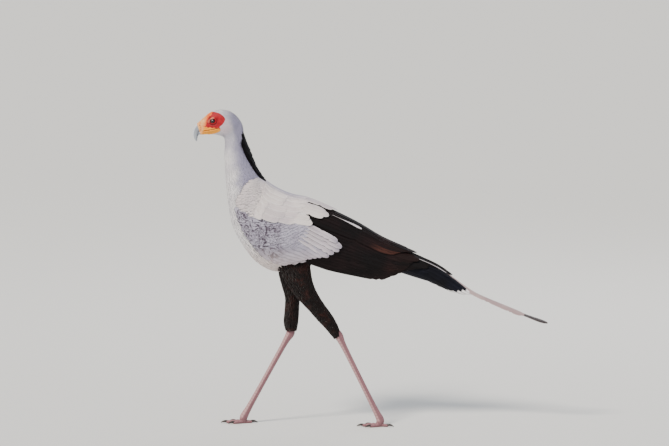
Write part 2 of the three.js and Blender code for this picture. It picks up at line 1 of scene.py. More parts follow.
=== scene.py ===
# A life-size secretary bird in mid stride: skin, horn, scales and feathers round its CAD solids.
import functools
import math
import bmesh
import bpy
import numpy as np
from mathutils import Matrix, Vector


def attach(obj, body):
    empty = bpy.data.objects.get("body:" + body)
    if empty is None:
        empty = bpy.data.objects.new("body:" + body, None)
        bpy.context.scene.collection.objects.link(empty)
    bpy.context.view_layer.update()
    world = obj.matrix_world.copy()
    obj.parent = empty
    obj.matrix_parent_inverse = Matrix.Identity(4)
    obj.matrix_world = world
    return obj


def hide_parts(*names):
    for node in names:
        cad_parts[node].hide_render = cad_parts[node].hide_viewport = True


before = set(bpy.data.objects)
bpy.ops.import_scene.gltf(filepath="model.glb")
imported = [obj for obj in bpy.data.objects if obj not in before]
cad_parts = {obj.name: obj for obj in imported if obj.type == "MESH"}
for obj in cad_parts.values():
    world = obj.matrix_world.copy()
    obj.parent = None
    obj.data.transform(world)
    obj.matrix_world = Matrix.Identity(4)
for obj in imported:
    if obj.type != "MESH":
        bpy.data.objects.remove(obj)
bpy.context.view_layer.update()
mm = 0.001
sides = {"left": 1, "right": -1}
draw = np.random.default_rng(11)
print("frame loaded")


# General helpers

def linear(code):  # sRGB hex to linear RGBA
    parts = [int(code[i:i + 2], 16) / 255 for i in (1, 3, 5)]
    return [c / 12.92 if c <= 0.04045 else ((c + 0.055) / 1.055) ** 2.4 for c in parts] + [1]


def fill(node, values):  # sets a node's inputs, or links them to the first output of another node
    for key, value in values.items() if isinstance(values, dict) else enumerate(values):
        if isinstance(value, bpy.types.Node):
            value = next(socket for socket in value.outputs if socket.enabled)
        if isinstance(value, bpy.types.NodeSocket):
            node.id_data.links.new(value, node.inputs[key])
        elif isinstance(value, str) and value.startswith("#"):
            node.inputs[key].default_value = linear(value)
        else:
            node.inputs[key].default_value = value
    return node


def addNode(tree, kind, values=(), **settings):  # a node with its settings, values and links
    node = tree.nodes.new(kind)
    for key, value in settings.items():
        setattr(node, key, value)
    return fill(node, values)


def smoothStep(x, start, end):
    t = np.clip((np.asarray(x, float) - start) / (end - start), 0, 1)
    return t * t * (3 - 2 * t)


def makeObject(name, points, faces, material=None, link=True):
    mesh = bpy.data.meshes.new(name)
    mesh.from_pydata([tuple(p) for p in points], [], [tuple(int(i) for i in f) for f in faces])
    mesh.update()
    piece = bpy.data.objects.new(name, mesh)
    if material:
        mesh.materials.append(material)
    if link:
        bpy.context.scene.collection.objects.link(piece)
    return piece


def setAttribute(piece, name, values):  # one number or one vector for each point
    values = np.asarray(values, np.float32)
    kind, key = ("FLOAT", "value") if values.ndim == 1 else ("FLOAT_VECTOR", "vector")
    layer = piece.data.attributes.new(name, kind, "POINT")
    layer.data.foreach_set(key, values.ravel())


def vectors(piece, key="co"):  # the points of a piece, or their normals
    flat = np.empty(len(piece.data.vertices) * 3, np.float32)
    piece.data.vertices.foreach_get(key, flat)
    return flat.reshape(-1, 3).astype(float)


def putPoints(piece, points):
    piece.data.vertices.foreach_set("co", np.asarray(points, np.float32).ravel())
    piece.data.update()


def relax(piece, rounds, keep=None, back=-0.57):  # towards the neighbours' middle, then a bit back
    edges = np.empty(len(piece.data.edges) * 2, np.int32)
    piece.data.edges.foreach_get("vertices", edges)
    a, b = edges.reshape(-1, 2).T
    points = vectors(piece)
    count = np.bincount(np.concatenate([a, b]), minlength=len(points))[:, None]
    share = 1.0 if keep is None else (1 - keep)[:, None]
    for _ in range(rounds):
        for strength in (0.55, back):
            total = np.zeros_like(points)
            for axis in range(3):
                total[:, axis] = (np.bincount(a, points[b, axis], len(points))
                                  + np.bincount(b, points[a, axis], len(points)))
            points += strength * share * (total / np.maximum(count, 1) - points)
    putPoints(piece, points)


def joined(solids):  # points and faces of several meshes as one
    points, faces = [], []
    for spots, loops in solids:
        faces.extend([tuple(i + len(points) for i in loop) for loop in loops])
        points.extend(spots)
    return points, faces


def voxelUnion(name, solids, voxel, material=None):  # one closed skin round overlapping closed meshes
    piece = makeObject(name, *joined(solids))
    remesh = piece.modifiers.new("remesh", "REMESH")
    remesh.mode = "VOXEL"
    remesh.voxel_size = voxel
    mesh = bpy.data.meshes.new_from_object(piece.evaluated_get(bpy.context.evaluated_depsgraph_get()))
    piece.modifiers.clear()
    piece.data = mesh
    mesh.materials.clear()
    if material:
        mesh.materials.append(material)
    return piece


def setUv(piece, title, table):  # a UV map from one place per point
    loops = np.empty(len(piece.data.loops), np.int32)
    piece.data.loops.foreach_get("vertex_index", loops)
    layer = piece.data.uv_layers.new(name=title)
    layer.data.foreach_set("uv", np.asarray(table, np.float32)[loops].ravel())


def curve(rows, spots, closed=False):  # a smooth curve through the rows, read at these spots
    i = np.minimum(spots.astype(int), len(rows) - (1 if closed else 2))
    t = (spots - i)[..., None]
    a, b, c, d = (rows[(i + k) % len(rows) if closed else np.clip(i + k, 0, len(rows) - 1)]
                  for k in (-1, 0, 1, 2))
    return b + 0.5 * t * (c - a + t * (2 * a - 5 * b + 4 * c - d + t * (3 * (b - c) + d - a)))


def ringFaces(ringCount, pointCount, base=0):  # quads between closed rings of points
    faces = []
    for r in range(ringCount - 1):
        for k in range(pointCount):
            a, b = base + r * pointCount + k, base + r * pointCount + (k + 1) % pointCount
            faces.append((a, b, b + pointCount, a + pointCount))
    return faces


def tube(rings):  # points and faces of a tube closed by a fan at either end
    ringCount, pointCount = rings.shape[:2]
    points = list(rings.reshape(-1, 3)) + [rings[0].mean(0), rings[-1].mean(0)]
    faces = ringFaces(ringCount, pointCount)
    last = (ringCount - 1) * pointCount
    for k in range(pointCount):
        n = (k + 1) % pointCount
        faces.append((n, k, len(points) - 2))
        faces.append((last + k, last + n, len(points) - 1))
    return points, faces


def smooth(piece):
    piece.data.shade_smooth()
    return piece


# Camera: telephoto from the bird's left side, a little above

lens = {"target": (0.1224, 0.0, 0.692), "distance": 25.0, "elevation": 7.0, "focal": 395.7}
lift = math.radians(lens["elevation"])
camera = bpy.data.objects.new("camera", bpy.data.cameras.new("camera"))
camera.data.lens = lens["focal"]
camera.data.sensor_width = 36
camera.data.clip_end = 400
camera.location = (lens["target"][0], lens["distance"] * math.cos(lift),
                   lens["target"][2] + lens["distance"] * math.sin(lift))
camera.rotation_euler = (math.pi / 2 - lift, 0, math.pi)
bpy.context.scene.collection.objects.link(camera)
bpy.context.scene.camera = camera


# Forms: the smooth shapes that skin and feathers follow, section by section, in millimetres.
# Each section is an ellipse: middle x, y, z, half its depth, the lean of its depth axis, half width.

forms = {
    "trunk": [
        (71, 0, 635, 37, -13, 30), (144, 0, 632, 76, -14, 56), (224, 0, 641, 108, -13, 80),
        (299, 0, 653, 130, -11, 91), (357, 0, 683, 129, -14, 92), (398, 0, 728, 115, -20, 84),
        (428, 0, 774, 101, -24, 71), (446, 0, 825, 86, -25, 56), (458, 0, 874, 68, -28, 44),
        (466, 0, 924, 50, -36, 34), (470, 0, 964, 38, -47, 28), (471, 0, 993, 34, -53, 26),
        (478, 0, 1017, 24, -56, 20)],
    "folded": [
        (446, 0, 825, 86, -25, 60), (428, 0, 774, 101, -24, 78), (398, 0, 725, 118, -19, 91),
        (357, 0, 681, 133, -14, 98), (299, 0, 655, 133, -11, 99), (223, 0, 644, 126, -8, 94),
        (138, 0, 618, 113, -9, 84), (56, 0, 591, 99, -8, 71), (-32, 0, 562, 77, -6, 58),
        (-114, 0, 545, 56, -8, 47), (-209, 0, 519, 38, -13, 38), (-284, 0, 483, 28, -22, 30)],
    "skull": [
        (443, 0, 1021, 15, 0, 9), (447, 0, 1023, 26, 0, 17), (461, 0, 1026, 38, 0, 25),
        (481, 0, 1030, 46, 0, 29.5), (505, 0, 1034, 46, 0, 31), (529, 0, 1035, 41.5, 0, 29.5),
        (549, 0, 1031, 36, 0, 24), (564, 0, 1025, 29, 0, 18), (574, 0, 1020, 24, 0, 14)],
    "nape": [
        (462, 0, 1048, 14, -40, 14), (454, 0, 1026, 20, -60, 19), (446, 0, 1000, 20, -64, 20),
        (440, 0, 968, 16, -62, 18)],
    "upperBill": [
        (552, 0, 1035, 20, 0, 17), (566, 0, 1030, 21, 0, 15.5), (577, 0, 1023.5, 17.5, 4, 12.5),
        (586, 0, 1015.5, 14.5, 22, 9.5), (591.5, 0, 1005, 12.5, 48, 7.5), (594.5, 0, 993.5, 9.5, 66, 5.2),
        (594, 0, 982, 6, 84, 3.2), (590.5, 0, 972, 2, 106, 1.2)],
    "lowerBill": [
        (552, 0, 1008, 12, 0, 14.5), (566, 0, 1004.5, 9.5, 0, 12), (577, 0, 1001.5, 7, 0, 8.5),
        (586, 0, 1000, 4, 0, 4.5)],
    "tail": [
        (110, 0, 626, 36, -15, 34), (20, 0, 602, 34, -18, 37), (-60, 0, 573, 31, -19, 36),
        (-140, 0, 545, 28, -20, 34), (-214, 0, 519, 26, -24, 33), (-267, 0, 489, 21, -30, 31),
        (-311, 0, 461, 15, -33, 27), (-350, 0, 437, 9, -33, 22)],
    "thighLeft": [
        (262, 38, 580, 56, 98, 34), (252, 42, 530, 52, 108, 38), (226, 44, 470, 39, 120, 36),
        (190, 42, 418, 30, 128, 30), (156, 39, 374, 27, 128, 26), (132, 36, 342, 23, 126, 22),
        (109, 35, 300, 15, 116, 16)],
    "thighRight": [
        (266, -38, 580, 56, 90, 34), (268, -42, 530, 50, 90, 38), (268, -44, 475, 37, 90, 36),
        (266, -42, 430, 27, 90, 31), (268, -40, 385, 27, 90, 29), (271, -38, 345, 27, 90, 26),
        (270, -37, 314, 20, 90, 19)],
}
forms = {name: np.array(rows, float) for name, rows in forms.items()}


def section(form, u):  # the form's section at u, 0 at its first one and 1 at its last, on a smooth curve
    rows = forms[form]
    return curve(rows, np.clip(u, 0, 1) * (len(rows) - 1))


def onForm(form, u, degrees, height):  # degrees go round from the left flank up over the back
    u, degrees, height = np.broadcast_arrays(*(np.asarray(v, float) for v in (u, degrees, height)))
    s = section(form, u)
    lean, angle = np.radians(s[..., 4]), np.radians(degrees)
    rise = (s[..., 3] + height) * np.sin(angle)
    return np.stack([
        s[..., 0] + rise * np.sin(lean),
        s[..., 1] + (s[..., 5] + height) * np.cos(angle),
        s[..., 2] + rise * np.cos(lean)], -1) * mm


def loft(form, ringCount, pointCount, grow=0.0, start=0.0, end=1.0):
    u = np.linspace(start, end, ringCount)[:, None]
    v = (np.arange(pointCount) * 360 / pointCount)[None, :]
    return tube(onForm(form, u, v, grow))


def faceOutwards(piece, weld=0):  # closed meshes get their faces pointing outwards
    work = bmesh.new()
    work.from_mesh(piece.data)
    if weld:
        bmesh.ops.remove_doubles(work, verts=work.verts, dist=weld)
        bmesh.ops.dissolve_degenerate(work, edges=work.edges, dist=weld / 10)
    bmesh.ops.recalc_face_normals(work, faces=work.faces)
    work.to_mesh(piece.data)
    work.free()
    return piece


def ramp(u, start, end, before, after):
    return before + (after - before) * smoothStep(u, start, end)


wing = {"edgeStart": -36.0, "edgeEnd": -18.0, "flightEdge": -38.0, "armStart": 0.035, "armEnd": 0.45}


def armEdge(u):  # the arm's lower edge, in degrees
    return ramp(u, 0.4, 0.5, wing["edgeStart"], wing["edgeEnd"])


def armTop(u):  # how high the arm stands over the folded form, in millimetres
    return ramp(u, 0.0, 0.1, -2, 2) + ramp(u, 0.28, 0.44, 1, 6)


onWing = functools.partial(onForm, "folded")
onTail = functools.partial(onForm, "tail")


def onNape(u, across, h):  # across is in millimetres from the ridge of the neck
    return onForm("trunk", u, 90 - np.degrees(across / section("trunk", np.asarray(u, float))[..., 5]), h)


streamerLine = np.array([
    (20, 645), (-60, 614), (-140, 584), (-225, 545), (-280, 506), (-322, 474), (-358, 450),
    (-440, 415), (-522, 380), (-606, 349)], float)
streamerRun = np.concatenate([[0], np.cumsum(np.hypot(*np.diff(streamerLine, axis=0).T))])
streamerRun /= streamerRun[-1]


def onStreamer(u, across, h):  # the two long feathers follow a line in the side view
    u, across, h = np.broadcast_arrays(*(np.asarray(v, float) for v in (u, across, h)))

    def spot(w):
        return np.stack([np.interp(w, streamerRun, streamerLine[:, k]) for k in (0, 1)], -1)

    near = [spot(np.clip(u + shift, 0, 1)) for shift in (-0.04, -0.02, 0, 0.02, 0.04)]
    middle = (near[0] + 2 * near[1] + 3 * near[2] + 2 * near[3] + near[4]) / 9
    middle = middle + (u >= 0.96)[..., None] * (near[2] - middle) * ((u - 0.96) / 0.04)[..., None]
    along = near[3] - near[1]
    along /= np.linalg.norm(along, axis=-1, keepdims=True)
    rise = h - 0.012 * across * across
    return np.stack([middle[..., 0] + along[..., 1] * rise, across,
                     middle[..., 1] - along[..., 0] * rise], -1) * mm


# Long feathers: each vane is a thin closed shell laid over a form

def rounded(t, start):  # closes a vane in a round tip from this share of its length on
    return np.sqrt(np.clip(1 - (np.clip(t - start, 0, 1) / (1 - start)) ** 2.3, 0, 1))


outlines = {
    "broad": lambda t: np.clip(0.42 + 1.9 * t, 0, 1) * rounded(t, 0.8),
    "spoon": lambda t: (0.3 + 0.7 * smoothStep(t, 0, 0.75)) * rounded(t, 0.8),
    "drop": lambda t: (0.1 + 0.9 * smoothStep(t, 0.2, 0.85)) * rounded(t, 0.85),
    "soft": lambda t: np.clip(0.4 + 2.2 * t, 0, 1) * (
        np.clip(1 - (np.clip(t - 0.4, 0, 1) / 0.6) ** 1.7, 0, 1)),
    "ribbon": lambda t: np.clip(0.7 + 2 * t, 0, 1) * rounded(t, 0.93),
}
vaneColumns = np.array([-1, -0.74, -0.42, -0.2, -0.13, -0.06, 0.2, 0.6, 0.86, 1])


def layVane(surface, feather, rows):  # the upper and lower points of one vane, rows by columns
    root, tip = (np.array(feather[key], float) for key in ("root", "tip"))
    t = 1 - (1 - np.linspace(0, 1, rows)) ** 1.35
    bend = feather.get("bend", 0.0) * np.sin(np.pi * t)
    u = root[0] + (tip[0] - root[0]) * t
    v = root[1] + (tip[1] - root[1]) * t + bend
    here = surface(u, v, 0)
    step = np.where(u > 0.5, -1e-3, 1e-3)
    perU = np.linalg.norm(surface(u + step, v, 0) - here, axis=-1) / 1e-3 / mm
    perV = np.linalg.norm(surface(u, v + 0.1, 0) - here, axis=-1) / 0.1 / mm
    du, dv = np.gradient(u, t) * perU, np.gradient(v, t) * perV
    run = np.hypot(du, dv)
    half = feather["width"] / 2 * outlines[feather.get("outline", "broad")](t)
    half = np.maximum(half, 0.25)
    s = vaneColumns[None, :]
    notch = np.zeros((rows, len(vaneColumns)))
    for column in (0, -1):
        for place in draw.integers(rows // 3, rows - 3, feather.get("splits", 2)):
            notch[place, column] = draw.uniform(0.12, 0.4)
    across = half[:, None] * s * (1 - notch)
    uu = u[:, None] - (dv / run / perU)[:, None] * across
    vv = v[:, None] + (du / run / perV)[:, None] * across
    climb = t ** feather.get("climb", 1.0)
    h = (feather["heights"][0] + (feather["heights"][1] - feather["heights"][0]) * climb)[:, None]
    h = h + (feather.get("tilt", 0.0) + feather.get("twist", 0.0) * t[:, None] ** 3) * across
    h = h + feather.get("camber", 0.9) * (1 - s * s) * (half / half.max())[:, None]
    h = h + 0.45 * np.exp(-((s + 0.13) / 0.05) ** 2) * (1 - 0.7 * t)[:, None]
    h = h + 0.25 * np.sin(9 * s + 14 * t[:, None] + 6 * feather["seed"]) * np.abs(s)
    thick = 0.5 * (1 - 0.5 * t)[:, None]
    return surface(uu, vv, h), surface(uu, vv, h - thick), t


def featherPiece(name, surface, feathers, material, rows=20, side=1, attributes=("seed",)):
    count = len(vaneColumns)
    points, faces, vaneUv, bakeUv = [], [], [], []
    marks = {key: [] for key in attributes}
    cells = math.ceil(math.sqrt(len(feathers)))
    for number, feather in enumerate(feathers):
        upper, lower, t = layVane(surface, feather, rows)
        base = len(points)
        under = base + rows * count
        grid = np.concatenate([upper.reshape(-1, 3), lower.reshape(-1, 3)])
        grid[:, 1] *= side
        points.extend(grid)
        for r in range(rows - 1):
            for k in range(count - 1):
                a = r * count + k
                loop = (a, a + count, a + count + 1, a + 1)
                faces.append(tuple(base + i for i in loop))
                faces.append(tuple(under + i for i in reversed(loop)))
        rim = [*range(count - 1), *(r * count + count - 1 for r in range(rows - 1)),
               *(rows * count - 1 - k for k in range(count - 1)),
               *(r * count for r in range(rows - 1, 0, -1))]
        for i, a in enumerate(rim):
            b = rim[(i + 1) % len(rim)]
            faces.append((base + a, base + b, under + b, under + a))
        place = np.stack(np.broadcast_arrays((vaneColumns[None, :] + 1) / 2, t[:, None]),
                         -1).reshape(-1, 2)
        vaneUv.extend(np.tile(place, (2, 1)))
        cell = np.array([number % cells, number // cells])
        bakeUv.extend((cell + 0.06 + 0.88 * np.tile(place, (2, 1))) / cells)
        for key in attributes:
            marks[key].extend([feather.get(key, 0.0)] * (2 * rows * count))
    piece = makeObject(name, points, faces, material)
    setUv(piece, "Vane", vaneUv)
    setUv(piece, "OFBake", bakeUv)
    for key in attributes:
        setAttribute(piece, key, marks[key])
    return smooth(faceOutwards(piece))


# Body feathers: Geometry Nodes set a small vane on every root and lay it down over the mould

shapeCount = 3


def featherShapes(name, rows, columns, outline, sizes):  # flat vanes, one unit long and wide
    group = bpy.data.collections.new(name)
    s = np.linspace(-1, 1, columns)
    t = 1 - (1 - np.linspace(0, 1, rows)) ** 1.2
    for variant in range(shapeCount):
        half = 0.5 * outlines[outline](t) * (1 + 0.06 * draw.normal(size=rows))
        half = np.maximum(half, 0.03)
        sway = 0.03 * np.sin(3 * t + variant * 2)
        x = sway[:, None] + half[:, None] * s
        y = np.broadcast_to(t[:, None], x.shape) - 0.05 * np.abs(s) ** 2 * (t > 0.8)[:, None]
        rise = sizes["root"] + (sizes["tip"] - sizes["root"]) * t[:, None] ** sizes["curve"]
        rise = rise + sizes["camber"] * (1 - s * s) + sizes["tilt"] * s
        upper = np.stack([x, y, rise * mm], -1).reshape(-1, 3)
        inner = [(r, k) for r in range(1, rows - 1) for k in range(1, columns - 1)]
        spots = {cell: rows * columns + i for i, cell in enumerate(inner)}
        lower = [upper[r * columns + k] - np.array([0, 0, sizes["thick"] * mm]) for r, k in inner]
        points = list(upper) + lower
        place = np.stack(np.broadcast_arrays((s[None, :] + 1) / 2, t[:, None]), -1).reshape(-1, 2)
        place = list(place) + [place[r * columns + k] for r, k in inner]
        faces = []
        for r in range(rows - 1):
            for k in range(columns - 1):
                ring = ((r, k), (r, k + 1), (r + 1, k + 1), (r + 1, k))
                faces.append(tuple(a * columns + b for a, b in ring))
                faces.append(tuple(spots.get(c, c[0] * columns + c[1]) for c in reversed(ring)))
        shape = makeObject(f"{name}{variant}", points, faces, link=False)
        setUv(shape, "Vane", place)
        setAttribute(shape, "rise", [p[2] for p in points])
        smooth(shape)
        group.objects.link(shape)
    return group


def coatTree():
    tree = bpy.data.node_groups.new("coat of feathers", "GeometryNodeTree")
    for title, kind in (("Geometry", "NodeSocketGeometry"), ("Shapes", "NodeSocketCollection"),
                        ("Mould", "NodeSocketObject"), ("Lift", "NodeSocketFloat"),
                        ("Patch", "NodeSocketFloat"), ("Seed", "NodeSocketInt"),
                        ("Finish", "NodeSocketMaterial")):
        tree.interface.new_socket(title, in_out="INPUT", socket_type=kind)
    tree.interface.new_socket("Geometry", in_out="OUTPUT", socket_type="NodeSocketGeometry")
    add = functools.partial(addNode, tree)
    source = add("NodeGroupInput").outputs

    def named(title, kind="FLOAT_VECTOR"):
        return add("GeometryNodeInputNamedAttribute", {"Name": title}, data_type=kind)

    shapes = add("GeometryNodeCollectionInfo", {
        "Collection": source["Shapes"], "Separate Children": True, "Reset Children": True})
    turn = add("FunctionNodeAxesToRotation", [named("normal"), named("flow")], primary_axis="Z",
               secondary_axis="Y")
    pick = add("FunctionNodeRandomValue", {4: 0, 5: shapeCount - 1, "Seed": source["Seed"]},
               data_type="INT")
    placed = add("GeometryNodeInstanceOnPoints", {
        "Points": source["Geometry"], "Instance": shapes, "Pick Instance": True,
        "Instance Index": pick.outputs[2], "Rotation": turn, "Scale": named("size")})
    real = add("GeometryNodeRealizeInstances", {"Geometry": placed})
    mould = add("GeometryNodeObjectInfo", {"Object": source["Mould"]}, transform_space="RELATIVE")
    near = add("GeometryNodeProximity", {"Geometry": mould.outputs["Geometry"]}, target_element="FACES")
    out = add(
        "GeometryNodeSampleNearestSurface", {"Mesh": mould.outputs["Geometry"], "Value": named("hull")},
        data_type="FLOAT_VECTOR")
    height = add("ShaderNodeMath", [named("rise", "FLOAT"), source["Lift"]], operation="MULTIPLY")
    raised = add("ShaderNodeMath", [height, named("loft", "FLOAT")], operation="MULTIPLY")
    push = add("ShaderNodeVectorMath", {0: out, "Scale": raised}, operation="SCALE")
    spot = add("ShaderNodeVectorMath", [near.outputs["Position"], push], operation="ADD")
    laid = add("GeometryNodeSetPosition", {"Geometry": real, "Position": spot})
    middle = add("ShaderNodeVectorMath", [named("Vane"), (0.5, 0.5, 0)], operation="SUBTRACT")
    small = add("ShaderNodeVectorMath", {0: middle, "Scale": source["Patch"]}, operation="SCALE")
    patch = add("ShaderNodeVectorMath", [named("bakeSpot"), small], operation="ADD")
    mapped = add(
        "GeometryNodeStoreNamedAttribute", {"Geometry": laid, "Name": "OFBake", "Value": patch},
        data_type="FLOAT2", domain="CORNER")
    finished = add("GeometryNodeSetMaterial", {"Geometry": mapped, "Material": source["Finish"]})
    add("NodeGroupOutput", [finished])
    return tree


coatNodes = coatTree()
bakePatch = 0.003


def growCoat(name, roots, shapes, mould, material, lift=1.0, seed=1):
    cloud = makeObject(name, roots["point"], [])
    for key in ("normal", "flow", "size", "bakeSpot", "seed", "loft"):
        setAttribute(cloud, key, roots[key])
    grow = cloud.modifiers.new("coat", "NODES")
    grow.node_group = coatNodes
    choices = {"Shapes": shapes, "Mould": mould, "Lift": lift, "Patch": bakePatch, "Seed": seed,
               "Finish": material}
    for item in coatNodes.interface.items_tree:
        if item.in_out == "INPUT" and item.name in choices:
            grow[item.identifier] = choices[item.name]
    mesh = bpy.data.meshes.new_from_object(cloud.evaluated_get(bpy.context.evaluated_depsgraph_get()))
    cloud.modifiers.clear()
    cloud.data = mesh
    for spare in ("normal", "flow", "size", "bakeSpot", "loft", "rise"):
        if spare in mesh.attributes:
            mesh.attributes.remove(mesh.attributes[spare])
    print(name, len(roots["point"]), "feathers", sum(len(p.vertices) - 2 for p in mesh.polygons),
          "triangles")
    return smooth(cloud)


def rootsOn(surface, rows, across, sizes, keep=None, flow=1, side=1):
    # rows gives u of each row; across(u) gives the first and last angle and the step in millimetres
    kept = {key: [] for key in ("point", "normal", "flow", "size", "bakeSpot", "seed", "loft")}
    for number, u in enumerate(rows):
        first, last, step = across(u)
        probe = surface(u, np.linspace(first, last, 60), 0)
        length = np.concatenate([[0], np.cumsum(np.linalg.norm(np.diff(probe, axis=0), axis=1))]) / mm
        count = max(int(length[-1] / step), 1)
        spread = (np.arange(count) + 0.25 + 0.5 * (number % 2) + draw.normal(0, 0.12, count)) * step
        v = np.interp(spread, length, np.linspace(first, last, 60))
        gap = np.abs(rows[min(number + 1, len(rows) - 1)] - rows[max(number - 1, 0)]) / 2
        uu = np.clip(u + draw.normal(0, 0.1, count) * gap, 0.001, 0.999)
        point = surface(uu, v, 0)
        du = (surface(uu + 5e-4, v, 0) - surface(uu - 5e-4, v, 0)) / 1e-3
        dv = surface(uu, v + 0.5, 0) - surface(uu, v - 0.5, 0)
        normal = surface(uu, v, 1) - point
        normal /= np.linalg.norm(normal, axis=1, keepdims=True)
        spacing = np.linalg.norm(du, axis=1) * gap
        along = flow * du / np.linalg.norm(du, axis=1, keepdims=True)
        sideways = dv / np.maximum(np.linalg.norm(dv, axis=1, keepdims=True), 1e-9)
        bend = sizes["bend"](point, uu, v) if "bend" in sizes else 0
        turn = np.radians(draw.normal(0, sizes.get("sway", 5), count) + bend)[:, None]
        along = along * np.cos(turn) + sideways * np.sin(turn)
        along -= normal * (along * normal).sum(1, keepdims=True)
        along /= np.linalg.norm(along, axis=1, keepdims=True)
        length = np.clip(spacing * sizes["overlap"], sizes["least"] * mm, sizes["most"] * mm)
        length = length * draw.uniform(0.9, 1.12, count)
        width = step * mm * sizes["broadness"] * draw.uniform(0.9, 1.1, count)
        inside = np.ones(count, bool) if keep is None else keep(point, uu, v)
        point, normal, along = (a * (1, side, 1) for a in (point, normal, along))
        kept["point"].append(point[inside])
        kept["normal"].append(normal[inside])
        kept["flow"].append(along[inside])
        kept["size"].append(np.stack([width, length, np.ones(count)], 1)[inside])
        kept["bakeSpot"].append(np.stack([0.02 + 0.96 * uu, 0.02 + 0.96 * ((v + 360) % 360) / 360,
                                          np.zeros(count)], 1)[inside])
        kept["seed"].append(draw.uniform(0, 1, count)[inside])
        kept["loft"].append((length / (sizes["most"] * mm) * draw.uniform(0.93, 1.08, count))[inside])
    return {key: np.concatenate(parts) for key, parts in kept.items()}


def joinRoots(*sets):
    return {key: np.concatenate([s[key] for s in sets]) for key in sets[0]}


def evenRows(surface, start, end, v, steps):  # rows from start to end; steps(u) is their distance in mm
    rows, u = [], start
    way = 1 if end > start else -1
    while (end - u) * way > 0:
        rows.append(u)
        pace = np.linalg.norm(surface(u + 5e-4, v, 0) - surface(u - 5e-4, v, 0)) / 1e-3 / mm
        u += way * steps(u) / pace
    return rows


# Materials

def newMaterial(name):  # a new material, what adds nodes to it and its shader
    material = bpy.data.materials.new(name)
    material.use_nodes = True
    tree = material.node_tree
    tree.nodes.clear()

    def add(kind, values=(), **settings):
        return addNode(tree, "ShaderNode" + kind, values, **settings)

    shader = add("BsdfPrincipled")
    add("OutputMaterial", {"Surface": shader})
    return material, add, shader


plainLook = {
    "shaft": 0.435, "blotch": 28.0, "blotchLow": 0.42, "blotchHigh": 0.62, "vary": 0.08, "streak": 0.1,
    "rootShadeAndDown": 0.75, "tipStart": 0.7, "tipFull": 1.0, "tipAmount": 0.8, "marks": {}, "rimStart": 0.38,
    "rimAmount": 0.35, "shaftWide": 0.02, "shaftAmount": 0.5, "bump": 0.25, "roughness": 0.7,
    "specular": 0.3, "sheen": 0.15}


def feather(name, look):
    # Feather: keratin barbs on a stiff shaft. Light skims along the barbs, so it is matt with a faint
    # sheen, and every vane has a paler rim, a visible shaft and fine slanting streaks.
    look = plainLook | look
    material, add, shader = newMaterial(name)
    vane = add("UVMap", uv_map="Vane")
    place = add("SeparateXYZ", [vane])
    across, along = place.outputs[0], place.outputs[1]
    seed = add("Attribute", attribute_name="seed").outputs["Fac"]
    where = add("TexCoord").outputs["Object"]
    offset = add("Math", [across, look["shaft"]], operation="SUBTRACT")
    side = add("Math", [offset], operation="ABSOLUTE")
    slant = add("Math", [side, 0.45, along], operation="MULTIPLY_ADD")
    barbs = add("Math", [slant, look["barbs"]], operation="MULTIPLY")
    jitter = add("Math", [seed, 40.0], operation="MULTIPLY")
    streaks = add("CombineXYZ", [barbs, side, jitter])
    fine = add("TexNoise", {"Vector": streaks, "Scale": 1.0, "Detail": 3.0})
    blotch = add("TexNoise", {
        "Vector": where, "Scale": look["blotch"], "Detail": 3.0, "Distortion": 0.4})
    patch = add("MapRange", {0: blotch, 1: look["blotchLow"], 2: look["blotchHigh"]})
    ground = add("Mix", {0: patch, 6: look["base"], 7: look["second"]}, data_type="RGBA")
    if "paint" in look:
        ground = look["paint"](add, ground, where)
    each = add("MapRange", {0: seed, 3: 1 - look["vary"], 4: 1 + look["vary"]})
    lines = add("MapRange", [fine, 0.3, 0.7, 1 - look["streak"], 1 + look["streak"]])
    shade = add("Math", [each, lines], operation="MULTIPLY")
    colour = add("VectorMath", {0: ground, "Scale": shade}, operation="SCALE")
    # darker towards the root: partly the darker down there, partly painted shade under the feathers lying
    # over it
    rootShade = add("MapRange", [along, 0.1, 0.6, look["rootShadeAndDown"], 1.0])
    colour = add("VectorMath", {0: colour, "Scale": rootShade}, operation="SCALE")
    if "tip" in look:
        end = add("MapRange", {0: along, 1: look["tipStart"], 2: look["tipFull"], 4: look["tipAmount"]},
                  interpolation_type="SMOOTHSTEP")
        colour = add("Mix", {0: end, 6: colour, 7: look["tip"]}, data_type="RGBA")
    for key, (first, full, tint) in look["marks"].items():
        amount = add("Attribute", attribute_name=key).outputs["Fac"]
        start = add("MapRange", [along, first, full], interpolation_type="SMOOTHSTEP")
        reach = add("Math", [amount, start], operation="MULTIPLY")
        ragged = add("MapRange", [fine, 0.25, 0.5, 0.45, 1.0])
        strength = add("Math", [reach, ragged], operation="MULTIPLY")
        colour = add("Mix", {0: strength, 6: colour, 7: tint}, data_type="RGBA")
    edge = add("Math", [across, 0.5], operation="SUBTRACT")
    edge = add("Math", [edge], operation="ABSOLUTE")
    rim = add("MapRange", {0: edge, 1: look["rimStart"], 2: 0.5, 4: look["rimAmount"]},
              interpolation_type="SMOOTHSTEP")
    colour = add("Mix", {0: rim, 6: colour, 7: look["rim"]}, data_type="RGBA")
    shaft = add("MapRange", {0: side, 1: look["shaftWide"], 2: 0.0, 4: look["shaftAmount"]})
    colour = add("Mix", {0: shaft, 6: colour, 7: look["shaftColour"]}, data_type="RGBA")
    bump = add("Bump", {"Strength": look["bump"], "Distance": 0.0006, "Height": fine})
    fill(shader, {"Base Color": colour, "Normal": bump, "Roughness": look["roughness"],
                  "Specular IOR Level": look["specular"], "Sheen Weight": look["sheen"],
                  "Sheen Roughness": 0.4})
    return material


